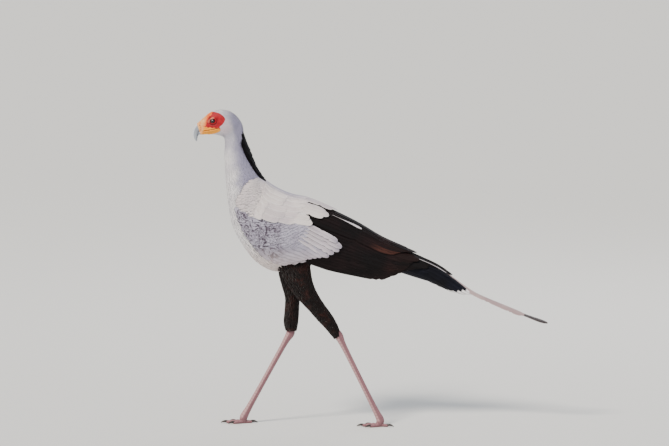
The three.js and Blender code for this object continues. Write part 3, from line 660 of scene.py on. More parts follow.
def paintBody(add, ground, where):
    # Neck and breast white; the nape lavender grey, partly its own colour and partly painted shade away
    # from the light; a painted shadow under the chin in the same grey; ear coverts pinkish, belly faintly
    # peach, and the vent black
    place = add("SeparateXYZ", [where])
    x, z = place.outputs[0], place.outputs[2]
    waver = add("TexNoise", {"Vector": where, "Scale": 26.0, "Detail": 3.0})
    # back of the neck: its own pale blue-grey, with painted shade on this side away from the light
    axis = add("Math", [z, 0.13, 0.352], operation="MULTIPLY_ADD")
    behind = add("Math", [axis, x], operation="SUBTRACT")
    ruffled = add("Math", [waver, 0.04, behind], operation="MULTIPLY_ADD")
    grey = add("MapRange", [ruffled, 0.004, 0.052], interpolation_type="SMOOTHSTEP")
    high = add("MapRange", [z, 0.72, 0.80], interpolation_type="SMOOTHSTEP")
    back = add("Math", [grey, high], operation="MULTIPLY")
    # painted shadow under the chin, in the same lavender grey
    slope = add("Math", [x, -0.9, 1.375], operation="MULTIPLY_ADD")
    rise = add("Math", [z, slope], operation="SUBTRACT")
    frayed = add("Math", [waver, 0.05, rise], operation="MULTIPLY_ADD")
    throat = add("MapRange", {0: frayed, 1: 0.008, 2: 0.05, 4: 0.6}, interpolation_type="SMOOTHSTEP")
    jaw = add("MapRange", [x, 0.520, 0.495])
    throat = add("Math", [throat, jaw], operation="MULTIPLY")
    crown = add("MapRange", [z, 1.0, 1.04, 1.0, 0.0])
    throat = add("Math", [throat, crown], operation="MULTIPLY")
    nape = add("Math", [back, throat], operation="MAXIMUM")
    tone = add("Mix", {0: nape, 6: ground, 7: "#928ea8"}, data_type="RGBA")
    side = add("CombineXYZ", {0: x, 2: z})
    ear = add("VectorMath", [side, (0.498, 0, 1.022)], operation="DISTANCE")
    warm = add("MapRange", {0: ear, 1: 0.034, 2: 0.012, 4: 0.75})
    tone = add("Mix", {0: warm, 6: tone, 7: "#d9c4cb"}, data_type="RGBA")
    under = add("MapRange", {0: z, 1: 0.64, 2: 0.56, 4: 0.6})
    tone = add("Mix", {0: under, 6: tone, 7: "#e6cfc6"}, data_type="RGBA")
    back = add("MapRange", [x, 0.236, 0.214])
    low = add("MapRange", [z, 0.61, 0.59])
    dark = add("Math", [back, low], operation="MULTIPLY")
    return add("Mix", {0: dark, 6: tone, 7: "#38211a"}, data_type="RGBA")


def paintCovert(add, ground, where):
    # The lesser coverts in front carry dark wavy marks; towards the lower edge the grey turns warmer
    place = add("SeparateXYZ", [where])
    marks = add("TexNoise", {"Vector": where, "Scale": 48.0, "Detail": 2.0, "Distortion": 2.6})
    wavy = add("MapRange", [marks, 0.46, 0.6])
    front = add("MapRange", {0: place.outputs[0], 1: 0.26, 2: 0.34, 4: 1.0},
                interpolation_type="SMOOTHSTEP")
    amount = add("Math", [wavy, front], operation="MULTIPLY")
    tone = add("Mix", {0: amount, 6: ground, 7: "#473d4a"}, data_type="RGBA")
    low = add("MapRange", {0: place.outputs[2], 1: 0.62, 2: 0.565, 4: 0.55})
    return add("Mix", {0: low, 6: tone, 7: "#c9b7b6"}, data_type="RGBA")


def paintMantle(add, ground, where):
    # By the ridge of the back, between the wings, the creamy feathers turn lavender grey, partly painted
    # shade
    place = add("SeparateXYZ", [where])
    away = add("Math", [place.outputs[1]], operation="ABSOLUTE")
    # painted shade along the ridge of the back, over the mantle's own lavender grey
    ridge = add("MapRange", {0: away, 1: 0.050, 2: 0.008, 4: 0.8}, interpolation_type="SMOOTHSTEP")
    ahead = add("MapRange", [place.outputs[0], 0.16, 0.28], interpolation_type="SMOOTHSTEP")
    amount = add("Math", [ridge, ahead], operation="MULTIPLY")
    return add("Mix", {0: amount, 6: ground, 7: "#8f8ba3"}, data_type="RGBA")


looks = {
    "softBody": ("softWhiteFeather", {
        "base": "#dad6db", "second": "#eae7e9", "rim": "#f4f2f3", "shaftColour": "#efedee",
        "barbs": 26.0, "shaft": 0.5, "shaftAmount": 0.2, "rimAmount": 0.2, "rootShadeAndDown": 0.88,
        "roughness": 0.85, "sheen": 0.3, "paint": paintBody}),
    "scapular": ("creamyScapularFeather", {
        "base": "#c4babc", "second": "#d9d0cc", "rim": "#e8e2e1", "shaftColour": "#aca0a6",
        "barbs": 30.0, "shaft": 0.5, "blotch": 12.0, "rootShadeAndDown": 0.96, "rimAmount": 0.2, "vary": 0.05,
        "roughness": 0.8, "shaftAmount": 0.3, "sheen": 0.25, "paint": paintMantle}),
    "longScapular": ("longScapularFeather", {
        "base": "#bfb4b8", "second": "#d6ccc9", "rim": "#efebea", "shaftColour": "#8f838c",
        "barbs": 60.0, "blotch": 12.0, "rootShadeAndDown": 0.92, "rimAmount": 0.7, "rimStart": 0.36,
        "vary": 0.05, "roughness": 0.8, "shaftAmount": 0.45, "sheen": 0.2, "paint": paintMantle}),
    "covert": ("greyCovertFeather", {
        "base": "#a9a5b5", "second": "#9892a3", "rim": "#c9c5d0", "shaftColour": "#7d7583",
        "barbs": 24.0, "shaft": 0.5, "blotch": 30.0, "rimAmount": 0.25, "rootShadeAndDown": 0.8, "vary": 0.08,
        "streak": 0.1, "roughness": 0.75, "sheen": 0.2, "paint": paintCovert}),
    "fan": ("pinkishFanFeather", {
        "base": "#b3a9b2", "second": "#c2b8be", "tip": "#8b8495", "tipStart": 0.78, "tipAmount": 0.7,
        "rim": "#e6e0e4", "rimStart": 0.34, "rimAmount": 0.8, "shaftColour": "#594e5e", "barbs": 40.0,
        "blotch": 10.0, "rootShadeAndDown": 0.72, "vary": 0.09, "roughness": 0.7, "shaftAmount": 0.85,
        "shaftWide": 0.03}),
    "flight": ("blackFlightFeather", {
        "base": "#0b0809", "second": "#180d0e", "rim": "#1e1415", "shaftColour": "#1e1415",
        "barbs": 60.0, "blotch": 9.0, "rootShadeAndDown": 0.8, "vary": 0.25, "streak": 0.25, "rimStart": 0.43,
        "rimAmount": 0.6, "roughness": 0.7, "specular": 0.14, "sheen": 0.0, "bump": 0.35,
        # the brownish tip mark: worn tips, and on the first tertials also a painted highlight
        "marks": {"rust": (0.7, 0.84, "#522f26"), "pale": (0.0, 0.05, "#dad4d8")}}),
    "tail": ("blackTailFeather", {
        "base": "#08080e", "second": "#0e0f1a", "tip": "#ece8e8", "tipStart": 0.875, "tipFull": 0.895,
        "tipAmount": 1.0, "rim": "#1c1c26", "shaftColour": "#1c1b22", "barbs": 60.0, "blotch": 9.0,
        "rootShadeAndDown": 0.8, "vary": 0.15, "streak": 0.2, "roughness": 0.65, "specular": 0.12,
        "sheen": 0.0, "bump": 0.3}),
    "streamer": ("greyStreamerFeather", {
        "base": "#a28a8a", "second": "#b59d99", "rim": "#c6b4b0", "shaftColour": "#7c6668",
        "barbs": 140.0, "blotch": 9.0, "rootShadeAndDown": 0.75, "roughness": 0.6,
        "marks": {"dark": (0.80, 0.84, "#16120f")}}),
    "crest": ("blackCrestFeather", {
        "base": "#070609", "second": "#0d0b10", "rim": "#15121a", "shaftColour": "#15121a",
        "barbs": 40.0, "blotch": 14.0, "vary": 0.15, "streak": 0.2, "roughness": 0.6, "specular": 0.2,
        "sheen": 0.0}),
    "thigh": ("blackThighFeather", {
        "base": "#120c0b", "second": "#2d1612", "tip": "#4e3029", "tipStart": 0.8, "tipAmount": 0.3,
        "rim": "#2c1a17", "shaftColour": "#1e1211", "barbs": 22.0, "shaft": 0.5, "blotch": 30.0,
        "blotchLow": 0.5, "blotchHigh": 0.7, "vary": 0.3, "streak": 0.2, "roughness": 0.8,
        "specular": 0.15, "sheen": 0.05})}
finishes = {key: feather(name, look) for key, (name, look) in looks.items()}


def underSkin():
    # Skin under the plumage: thin, matt and toned like the down that shows between the feathers
    material, add, shader = newMaterial("downySkin")
    where = add("TexCoord").outputs["Object"]
    fuzz = add("TexNoise", {"Vector": where, "Scale": 260.0, "Detail": 4.0})
    tone = add("Mix", {0: fuzz, 6: "#a9a4aa", 7: "#cdc8cc"}, data_type="RGBA")
    tone = paintBody(add, tone, where)
    place = add("SeparateXYZ", [where])
    low = add("MapRange", [place.outputs[2], 0.555, 0.535])
    near = add("MapRange", [place.outputs[0], 0.345, 0.325])
    dark = add("Math", [low, near], operation="MULTIPLY")
    tone = add("Mix", {0: dark, 6: tone, 7: "#150f0e"}, data_type="RGBA")
    bump = add("Bump", {"Strength": 0.3, "Distance": 0.0008, "Height": fuzz})
    fill(shader, {"Base Color": tone, "Normal": bump, "Roughness": 0.9})
    return material


finishes["down"] = underSkin()
print("materials made")


# Moulds: the smooth shapes, a few millimetres under the plumage, that the body feathers lie on

coat = {"trunkDepth": -3.0, "headDepth": -1.2, "napeDepth": -2.5, "chinDepth": -1.0, "thighDepth": -4.0,
        "voxel": 3.2 * mm, "rounds": 22, "throatRounds": 36, "skinDepth": 0.8 * mm}


def bodyMouldMesh():  # the joint of throat and neck is smoothed further than the rest
    piece = voxelUnion("bodyMould", [
        loft("trunk", 90, 72, coat["trunkDepth"]), loft("skull", 40, 48, coat["headDepth"]),
        loft("nape", 20, 36, coat["napeDepth"]), loft("tail", 30, 40, coat["trunkDepth"], end=0.4),
        loft("lowerBill", 12, 24, coat["chinDepth"], end=0.4),
        loft("thighLeft", 40, 36, coat["thighDepth"], end=0.98),
        loft("thighRight", 40, 36, coat["thighDepth"], end=0.98)], coat["voxel"])
    relax(piece, coat["rounds"])
    x, _, z = vectors(piece).T
    throat = (smoothStep(z, 0.935, 0.96) * (1 - smoothStep(z, 1.0, 1.03))
              * (1 - smoothStep(x, 0.525, 0.54)))
    relax(piece, coat["throatRounds"], 1 - throat, 0.0)
    setAttribute(piece, "hull", vectors(piece, "normal"))
    return piece


def shoulder(u, v):  # how high the folded wing stands over its form; it sinks into the back of the neck
    u, v = np.broadcast_arrays(np.asarray(u, float), np.asarray(v, float))
    sunk = 5.5 * smoothStep(v, 35, 75) * (1 - smoothStep(v, 105, 145)) * (1 - smoothStep(u, 0.17, 0.32))
    return armTop(u) - sunk


def wingMouldSurface(u, v, h):
    return onWing(u, v, np.asarray(h, float) + shoulder(u, v))


def wingMouldMesh():
    ringCount, pointCount = 90, 96
    u = np.linspace(0, 0.9, ringCount)[:, None]
    v = (np.arange(pointCount) * 360 / pointCount)[None, :]
    rings = wingMouldSurface(u, v, 0.0)
    piece = makeObject("wingMould", rings.reshape(-1, 3), ringFaces(ringCount, pointCount))
    outward = wingMouldSurface(u, v, 1.0) - rings
    outward /= np.linalg.norm(outward, axis=-1, keepdims=True)
    setAttribute(piece, "hull", outward)
    return piece


bodyMould = bodyMouldMesh()
wingMould = wingMouldMesh()
print("moulds", len(bodyMould.data.polygons), len(wingMould.data.polygons))


# Skin of the trunk, neck and thighs, one closed shell just under the feathers; inside the bare face it
# draws back behind the eye sockets

def roundOutline(corners, steps):  # a closed smooth curve through the corners
    return [tuple(p) for p in curve(
        np.array(corners), np.arange(len(corners) * steps) / steps, closed=True)]


bareFace = roundOutline([
    (0.600, 1.046), (0.575, 1.056), (0.556, 1.066), (0.537, 1.0705), (0.514, 1.0665), (0.4965, 1.052),
    (0.503, 1.036), (0.5155, 1.024), (0.512, 1.0135), (0.521, 1.0062), (0.545, 0.998), (0.600, 0.990)], 6)


def insideOutline(x, z, outline):
    inside = np.zeros(np.shape(x), bool)
    for (x0, z0), (x1, z1) in zip(outline, outline[1:] + outline[:1]):
        crosses = (z0 > z) != (z1 > z)
        with np.errstate(divide="ignore", invalid="ignore"):
            inside ^= crosses & (x < (x1 - x0) * (z - z0) / (z1 - z0 + 1e-12) + x0)
    return inside


def outlineDepth(x, z, outline):  # metres inside (+) or outside (-) an outline in the side view
    best = np.full(np.shape(x), 1.0)
    for (x0, z0), (x1, z1) in zip(outline, outline[1:] + outline[:1]):
        ex, ez = x1 - x0, z1 - z0
        t = np.clip(((x - x0) * ex + (z - z0) * ez) / (ex * ex + ez * ez), 0, 1)
        best = np.minimum(best, np.hypot(x - x0 - t * ex, z - z0 - t * ez))
    return np.where(insideOutline(x, z, outline), best, -best)


def bodySkin():
    skin = makeObject("bodySkin", [], [])
    skin.data = bodyMould.data.copy()
    points, normals = vectors(skin), vectors(skin, "normal")
    points -= normals * coat["skinDepth"]
    points[:, 1] *= 1 - 0.5 * smoothStep(outlineDepth(points[:, 0], points[:, 2], bareFace), -0.004,
                                         0.003)
    putPoints(skin, points)
    skin.data.materials.append(finishes["down"])
    return smooth(skin)




# Body plumage

def trunkRoots():
    surface = functools.partial(onForm, "trunk")

    def pace(u):
        return np.interp(u, [0, 0.3, 0.55, 0.7, 0.85, 1], [12, 11, 8.5, 6, 4, 3])

    def around(u):
        return -270, 90, np.interp(u, [0, 0.3, 0.55, 0.7, 0.85, 1], [9, 8.5, 7, 5, 3.4, 2.8])

    def keep(point, u, v):
        height = (v + 540) % 360 - 180
        flank = np.where(np.abs(height) > 90, 180 - np.abs(height), np.abs(height)) * np.sign(height)
        hidden = (u < 0.42) & (flank > -30) & (flank < 80)
        crestStrip = (u > 0.74) & (flank > 80)
        onThigh = (point[:, 0] > 0.2) & (point[:, 0] < 0.332) & (point[:, 2] < 0.585)
        return ~hidden & ~crestStrip & ~onThigh

    return rootsOn(surface, evenRows(surface, 0.985, 0.02, 0, pace), around,
                   {"overlap": 3.0, "least": 9, "most": 34, "broadness": 1.8, "sway": 6}, keep, flow=-1)


def headRoots():
    surface = functools.partial(onForm, "skull")

    def droop(point, u, v):  # behind the jaw the feathers turn down into those of the neck
        low = smoothStep(-point[:, 0], -0.512, -0.465) * (1 - smoothStep(point[:, 2], 1.01, 1.06))
        return -72 * low * np.sign(np.cos(np.radians(v)))

    def keep(point, u, v):
        bare = insideOutline(point[:, 0] + draw.normal(-0.0008, 0.0008, len(u)), point[:, 2], bareFace)
        throat = (point[:, 0] < 0.508) & (point[:, 2] < 0.994 + draw.normal(0, 0.007, len(u)))
        return ~bare & ~throat

    rows = evenRows(surface, 0.97, 0.04, 90, lambda u: 2.8)
    return rootsOn(surface, rows, lambda u: (-90, 270, 2.2 + 0.5 * (1 - u)),
                   {"overlap": 3.2, "least": 6, "most": 10, "broadness": 1.7, "sway": 7, "bend": droop},
                   keep, flow=-1)


def napeRoots():
    surface = functools.partial(onForm, "nape")
    rows = evenRows(surface, 0.03, 0.97, 90, lambda u: 2.8)
    return rootsOn(surface, rows, lambda u: (0, 180, 2.6),
                   {"overlap": 3.2, "least": 7, "most": 11, "broadness": 1.7, "sway": 7})


def thighRoots(form):
    surface = functools.partial(onForm, form)
    rows = evenRows(surface, 0.02, 0.96, 0, lambda u: 7.5 - 2.5 * u)
    return rootsOn(surface, rows, lambda u: (0, 360, 7.5 - 2.5 * u),
                   {"overlap": 2.9, "least": 11, "most": 26, "broadness": 1.7, "sway": 9}, flow=1)


softShapes = featherShapes("softShape", 7, 3, "soft", {
    "root": 0.0, "tip": 1.7, "curve": 0.8, "camber": 0.35, "tilt": 0.3, "thick": 0.2})
tinyShapes = featherShapes("tinyShape", 6, 3, "soft", {
    "root": 0.0, "tip": 0.9, "curve": 0.8, "camber": 0.2, "tilt": 0.15, "thick": 0.12})
raggedShapes = featherShapes("raggedShape", 7, 3, "soft", {
    "root": 0.0, "tip": 3.4, "curve": 0.9, "camber": 0.5, "tilt": 0.4, "thick": 0.3})
coverShapes = featherShapes("coverShape", 7, 5, "soft", {
    "root": 0.0, "tip": 1.7, "curve": 0.9, "camber": 0.35, "tilt": 0.3, "thick": 0.2})

pieces = []


def handOver(piece, slotName, *nodes):  # nodes are the CAD nodes that it takes the place of
    pieces.append((piece, slotName, nodes))


handOver(bodySkin(), "plumage_white", "torso", "neck", "thigh_left", "thigh_right")
handOver(growCoat("bodyFeathers", trunkRoots(), softShapes, bodyMould, finishes["softBody"], seed=3),
         "plumage_white")
handOver(growCoat("headFeathers", joinRoots(headRoots(), napeRoots()), tinyShapes, bodyMould,
                  finishes["softBody"], seed=5), "plumage_white")
handOver(growCoat("thighFeathers", joinRoots(thighRoots("thighLeft"), thighRoots("thighRight")),
                  raggedShapes, bodyMould, finishes["thigh"], seed=7), "plumage_black")


# Wings: coverts in rows on the arm, creamy scapulars over them, the long vanes behind

def covertRoots(side):
    def pace(u):
        return np.interp(u, [0, 0.15, 0.43], [6, 7.5, 10])

    def around(u):
        return float(armEdge(u)) - 2, 34, np.interp(u, [0, 0.15, 0.43], [7, 8.5, 11])

    def keep(point, u, v):
        return point[:, 2] < 0.752

    return rootsOn(wingMouldSurface, evenRows(wingMouldSurface, 0.03, 0.455, -20, pace), around,
                   {"overlap": 3.0, "least": 14, "most": 36, "broadness": 1.9, "sway": 4,
                    "bend": lambda point, u, v: np.interp(u, [0.05, 0.2, 0.32, 0.4], [30, 22, 8, 0])},
                   keep, flow=1, side=side)


def scapularEdge(u):  # the lower edge of the creamy field, in degrees
    return np.interp(u, [0.0, 0.06, 0.1, 0.16, 0.22, 0.29, 0.36, 0.47],
                     [-38, -30, -22, -2, 12, 19, 21, 23])


def scapularStart(v):  # where the field begins behind the neck
    return np.interp(v, [-40, -20, 20, 50, 90, 100], [0.03, 0.02, 0.04, 0.08, 0.16, 0.17])


def scapularEnd(v):  # the three lobes that the field ends in
    return np.interp(v, [20, 27, 34, 38, 46, 56, 63, 67, 76, 90, 100],
                     [0.45, 0.475, 0.462, 0.478, 0.51, 0.524, 0.505, 0.47, 0.53, 0.552, 0.552])


def scapularSurface(u, v, h):
    return onWing(u, v, np.asarray(h, float) + shoulder(u, v) + 3)


def scapularRoots(side):
    def pace(u):
        return np.interp(u, [0, 0.2, 0.4], [5, 7.5, 10])

    def around(u):
        return float(scapularEdge(u)) + 2, 92, np.interp(u, [0, 0.2, 0.4], [5.5, 8.5, 12])

    def keep(point, u, v):
        return (u + 0.07 < scapularEnd(v)) & (u > scapularStart(v))

    return rootsOn(scapularSurface, evenRows(wingMouldSurface, 0.01, 0.4, 60, pace), around,
                   {"overlap": 3.3, "least": 17, "most": 40, "broadness": 1.9, "sway": 4,
                    "bend": lambda point, u, v: np.interp(u, [0.05, 0.2, 0.3, 0.4], [42, 30, 12, 0])},
                   keep, 1, side)


wings = {"coverLift": 1.0, "scapularLift": 0.9}
for name, side in sides.items():
    handOver(growCoat(f"wingCoverts_{name}", covertRoots(side), coverShapes, wingMould,
                      finishes["covert"], wings["coverLift"], seed=11), "plumage_grey", f"wing_{name}")
    handOver(growCoat(f"scapulars_{name}", scapularRoots(side), coverShapes, wingMould,
                      finishes["scapular"], wings["scapularLift"], seed=13), "plumage_white")


def row(count, build):  # count feathers, build(s) with s from 0 to 1
    made = []
    for i in range(count):
        feather = build(i / (count - 1) if count > 1 else 0.5)
        feather["seed"] = draw.uniform(0, 1)
        feather["width"] *= draw.uniform(0.96, 1.04)
        made.append(feather)
    return made


def mix(a, b, s):
    return a + (b - a) * s


def greaterCoverts():
    lower = row(9, lambda s: {
        "root": (mix(0.26, 0.42, s), mix(-33, 4, s)), "tip": (mix(0.41, 0.54, s), mix(-37, -14, s)),
        "width": 23, "heights": (float(armTop(0.4)) - 1, float(armTop(0.44)) + 2.5), "tilt": -0.22,
        "splits": 1})
    fan = row(5, lambda s: {
        "root": (mix(0.415, 0.44, s), mix(5, 24, s)),
        "tip": (np.interp(s, [0, 0.25, 0.5, 0.75, 1], [0.547, 0.563, 0.581, 0.589, 0.57]),
                mix(-14, 14, s)), "width": mix(22, 21, s),
        "heights": (float(armTop(0.42)) - 1, 9.5 + 2 * s), "tilt": -0.3, "splits": 2})
    return lower, fan


def longScapulars():  # overlapping rows along the back; the last one ends in the three lobes
    front = row(8, lambda s: {
        "root": (0.115, mix(0, 84, s)), "tip": (mix(0.245, 0.3, s) + draw.uniform(-0.02, 0.02),
                                                mix(15, 88, s)), "width": 32, "heights": (-6, 7.5),
        "tilt": -0.05, "splits": 0, "camber": 0.6, "climb": 0.6})
    first = row(8, lambda s: {
        "root": (0.19, mix(14, 86, s)), "tip": (mix(0.335, 0.375, s) + draw.uniform(-0.02, 0.02),
                                                mix(24, 88, s)), "width": 31, "heights": (5, 8.5),
        "tilt": -0.05, "splits": 0, "camber": 0.6})
    second = row(7, lambda s: {
        "root": (0.27, mix(25, 86, s)), "tip": (mix(0.41, 0.455, s) + draw.uniform(-0.015, 0.015),
                                                mix(27, 88, s)), "width": 30, "heights": (5.5, 9),
        "tilt": -0.06, "splits": 0, "camber": 0.6})
    lobes = [(0.34, 33, 0.462, 34, 24), (0.34, 27, 0.474, 27.5, 24), (0.37, 46, 0.508, 46, 25),
             (0.37, 58, 0.514, 59, 24), (0.38, 52, 0.526, 54, 27), (0.39, 76, 0.535, 77, 27),
             (0.39, 86, 0.552, 88, 28)]
    last = [
        {"root": (u0, v0), "tip": (u1, v1), "width": wide, "heights": (6, 11), "tilt": -0.05,
         "splits": 1, "camber": 1.0, "seed": draw.uniform(0, 1)} for u0, v0, u1, v1, wide in lobes]
    return last + second + first + front


def flightFeathers():
    def tipU(s):
        return np.interp(s, [0, 0.2, 0.4, 0.7, 0.85, 1], [0.765, 0.81, 0.832, 0.85, 0.875, 0.865])

    primaries = row(6, lambda s: {
        "root": (0.47, mix(-28, 20, s)), "tip": (mix(0.80, 0.893, s), mix(-22, 30, s)), "width": 34,
        "heights": (-2.0, 0.5), "tilt": -0.1, "outline": "broad"})
    secondaries = row(14, lambda s: {
        "root": (0.455, mix(wing["flightEdge"] + 5, 46, s)), "tip": (tipU(0.78 * s), mix(-31, 45, s)),
        "width": 40, "heights": (-0.5, 5.0), "tilt": -0.16, "rust": draw.uniform(0, 0.1)})
    # the first tertials carry the most of the brownish tip mark: worn tips with a painted highlight over
    # them
    tertials = row(7, lambda s: {
        "root": (0.40, mix(36, 82, s)), "tip": (mix(0.79, 0.865, s) if s < 0.99 else 0.82,
                                                mix(42, 82, s)), "width": mix(40, 30, s),
        "heights": (1.0, 8.5), "tilt": -0.16, "splits": 1, "rust": 0.55 if s < 0.2
        else draw.uniform(0, 0.12)})
    streak = row(1, lambda s: {
        "root": (0.535, 59.5), "tip": (0.652, 58.5), "width": 8, "heights": (9.0, 11.5),
        "outline": "drop", "pale": 1.0, "camber": 0.3})
    return primaries + secondaries + tertials + streak


for name, side in sides.items():
    lower, fan = greaterCoverts()
    handOver(featherPiece(f"lowerCoverts_{name}", onWing, lower, finishes["covert"], 18, side),
             "plumage_grey")
    handOver(featherPiece(f"covertFan_{name}", onWing, fan, finishes["fan"], 20, side), "plumage_grey")
    handOver(featherPiece(f"longScapulars_{name}", onWing, longScapulars(), finishes["longScapular"],
                          18, side), "plumage_white")
    handOver(featherPiece(f"flightFeathers_{name}", onWing, flightFeathers(), finishes["flight"], 26,
                          side, ("seed", "rust", "pale")), "plumage_black", f"flight_{name}")


# Tail: six black vanes on either side laid like a tent, and the two long grey ones above them

def tailFeathers():
    return row(6, lambda s: {
        "root": (0.1, mix(-44, 62, s)), "tip": (mix(0.74, 0.985, s ** 0.7), mix(-38, 56, s)),
        "width": mix(38, 32, s), "heights": (-1.0, 4.0), "tilt": -0.2})


for name, side in sides.items():
    handOver(featherPiece(f"tailFeathers_{name}", onTail, tailFeathers(), finishes["tail"], 26, side),
             "plumage_black", *(["tail"] if side == 1 else []))
streamers = [
    {"root": (0.0, 6), "tip": (0.875, 15), "width": 30, "heights": (0, 2), "outline": "ribbon",
     "seed": 0.3, "splits": 5, "twist": -0.15, "side": 1},
    {"root": (0.0, 6), "tip": (1.0, 15), "width": 28, "heights": (0, 0), "outline": "ribbon",
     "seed": 0.7, "splits": 5, "dark": 1.0, "twist": 0.75, "side": -1}]
for number, streamer in enumerate(streamers):
    handOver(featherPiece(("tailStreamer_left", "tailStreamer_right")[number], onStreamer, [streamer],
                          finishes["streamer"], 70, streamer["side"], ("seed", "dark")),
             "streamer_grey", *([] if number else ["tail_streamers"]))


def upperTailCoverts():  # black vanes over the roots of the two long feathers, one edged pale
    made = row(5, lambda s: {
        "root": (0.0, mix(3, 19, s)), "tip": (mix(0.47, 0.36, s), mix(5, 21, s)), "width": 24,
        "heights": (3, mix(6.5, 4, s)), "tilt": -0.25, "splits": 2})
    return made + row(1, lambda s: {
        "root": (0.10, 25), "tip": (0.44, 22), "width": 3.6, "heights": (4, 8), "outline": "drop",
        "pale": 0.7, "camber": 0.2, "splits": 0})


for name, side in sides.items():
    handOver(featherPiece(f"upperTailCoverts_{name}", onStreamer, upperTailCoverts(),
                          finishes["flight"], 24, side, ("seed", "rust", "pale")), "plumage_black")


# Crest: long paddles in overlapping layers down the back of the neck

def crestFeathers():
    made = []
    for layer in range(9):
        for place in (-1, 0, 1) if layer % 2 else (-0.55, 0.55, 0):
            made.append({
                "root": (0.83 + 0.015 * layer + draw.uniform(-0.006, 0.006), 6 * place),
                "tip": (0.375 + 0.030 * layer + draw.uniform(-0.012, 0.012),
                        13 * place + draw.uniform(-2, 2)), "width": draw.uniform(12, 15),
                "heights": (0.3 * layer - 1.5, 3.1 * layer + draw.uniform(-1, 1)), "climb": 0.55,
                "outline": "spoon", "seed": draw.uniform(0, 1), "splits": 3, "camber": 1.2,
                "tilt": 0.5 * place})
    return made


handOver(featherPiece("crestFeathers", onNape, crestFeathers(), finishes["crest"], 20), "plumage_black",
         "crest")
print("feathers laid")


# Head: bare face skin with lids, brow, folds and gape, the horn of the bill, eyes and lashes

head = {"eyeX": 535.0, "eyeY": 19.8, "eyeZ": 1043.0, "eyeRadius": 10.5, "lidRadius": 8.9,
        "lidRise": 2.4, "socketSink": 1.3, "browRise": 2.6, "mouthX": 576.0, "mouthZ": 1006.0,
        "mouthSlope": 0.2035, "corner": 516.0, "nostrilX": 580.0, "nostrilZ": 1027.0,
        "nostrilSlope": 50.0, "voxel": 1.0 * mm, "featherSink": 1.3}


def bell(x, middle, spread):
    return np.exp(-((x - middle) / spread) ** 2)


def mouthLine(x):
    return head["mouthZ"] + (head["mouthX"] - x) * head["mouthSlope"]


def headSkin():
    piece = voxelUnion(
        "headSkin", [loft("skull", 60, 90, 0.2), loft("trunk", 34, 72, -3.4, start=0.78),
                     loft("upperBill", 40, 60, 0.7, end=0.4), loft("lowerBill", 20, 40, 0.4, end=0.72)],
        head["voxel"], finishes["face"])
    relax(piece, 7)
    points, normals = vectors(piece), vectors(piece, "normal")
    x, y, z = points.T / mm
    inside = outlineDepth(points[:, 0], points[:, 2], bareFace)
    bare = smoothStep(inside, -0.0045, -0.002)
    flank = smoothStep(np.abs(y), 7, 14)
    ex, ez = x - head["eyeX"], z - head["eyeZ"]
    ring, lid = np.hypot(ex, ez), np.hypot(ex / 1.2, (ez + 0.12 * ex) / 0.9)
    angle = np.arctan2(ez, ex)
    push = -head["featherSink"] * (1 - bare) - 3.5 * smoothStep(-inside, 0.004, 0.014)
    push -= head["socketSink"] * bell(ring, 13.5, 3.0) * flank
    push += head["lidRise"] * bell(lid, head["lidRadius"], 1.3) * flank
    push += 0.8 * bell(ring, 17.0, 1.5) * flank * bare
    brow = 1056.5 + 0.1 * ex
    push += (head["browRise"] * bell(z, brow, 3.0) * smoothStep(x, 506, 520)
             * (1 - smoothStep(x, 552, 566)) * flank)
    push += 0.38 * np.sin(24 * angle + 2.5 * np.sin(0.9 * ring)) * bell(ring, 15.5, 4.0) * flank * bare
    push += 0.22 * np.sin(0.9 * z + 0.35 * x + 1.5 * np.sin(0.3 * x)) * bare * smoothStep(ring, 16, 22)
    gape = smoothStep(x, head["corner"] - 3, head["corner"] + 3)
    above = z - mouthLine(x)
    push += (gape * flank * (1.3 * bell(above, 3.0, 1.5) + 1.5 * bell(above, -2.8, 1.5))
             * (1 - smoothStep(x, 568, 580)))
    push -= gape * flank * 2.2 * bell(above, 0.0, 1.0)
    slope = math.radians(head["nostrilSlope"])
    nx, nz = x - head["nostrilX"], z - head["nostrilZ"]
    alongSlot = nx * math.cos(slope) + nz * math.sin(slope)
    acrossSlot = nz * math.cos(slope) - nx * math.sin(slope)
    slot = np.hypot(alongSlot / 3.0, acrossSlot / 1.25)
    push += smoothStep(np.abs(y), 4, 7) * (0.6 * bell(slot, 1.5, 0.5) - 2.6 * np.exp(-slot ** 2))
    points += normals * push[:, None] * mm
    cup = 7.0 * (1 - smoothStep(lid, 6.6, 8.0)) * flank
    points[:, 1] -= np.sign(y) * cup * mm
    putPoints(piece, points)
    top = np.interp(x, [505, 529, 549, 564, 577, 590], [1080, 1076.5, 1067, 1055, 1042, 1026])
    wobble = (1.2 * np.sin(0.45 * x + 0.3 * z) + 0.9 * np.sin(0.8 * z - 0.5 * x)
              + 0.5 * np.sin(1.7 * x + 1.1 * z))
    strip = wobble + (top - z) * 0.76 - np.interp(x, [500, 526, 540, 556, 568], [-20, -12, 7, 10, 13])
    yellow = z - (1018 + 0.09 * (x - 522)) + 0.7 * wobble
    red = (smoothStep(strip, -3, 3) * (1 - smoothStep(x + wobble + 0.3 * (z - 1026), 557, 567))
           * smoothStep(yellow, -1, 3))
    lidTone = bell(lid, 11.6, 2.0) * smoothStep(np.cos(angle - 0.8), 0.1, 0.8) * flank
    for title, mask in (("bare", bare), ("red", red), ("gape", 1 - smoothStep(yellow, -2.5, 1.5)),
                        ("cere", smoothStep(x - 0.25 * (1020 - z) + wobble, 560, 571)), ("lid", lidTone)):
        setAttribute(piece, title, mask)
    # painted shade where the skin sinks: eye socket, folds, mouth line and nostril
    setAttribute(piece, "foldShade", np.clip(0.5 - push / 3, 0, 1) * bare)
    return smooth(piece)


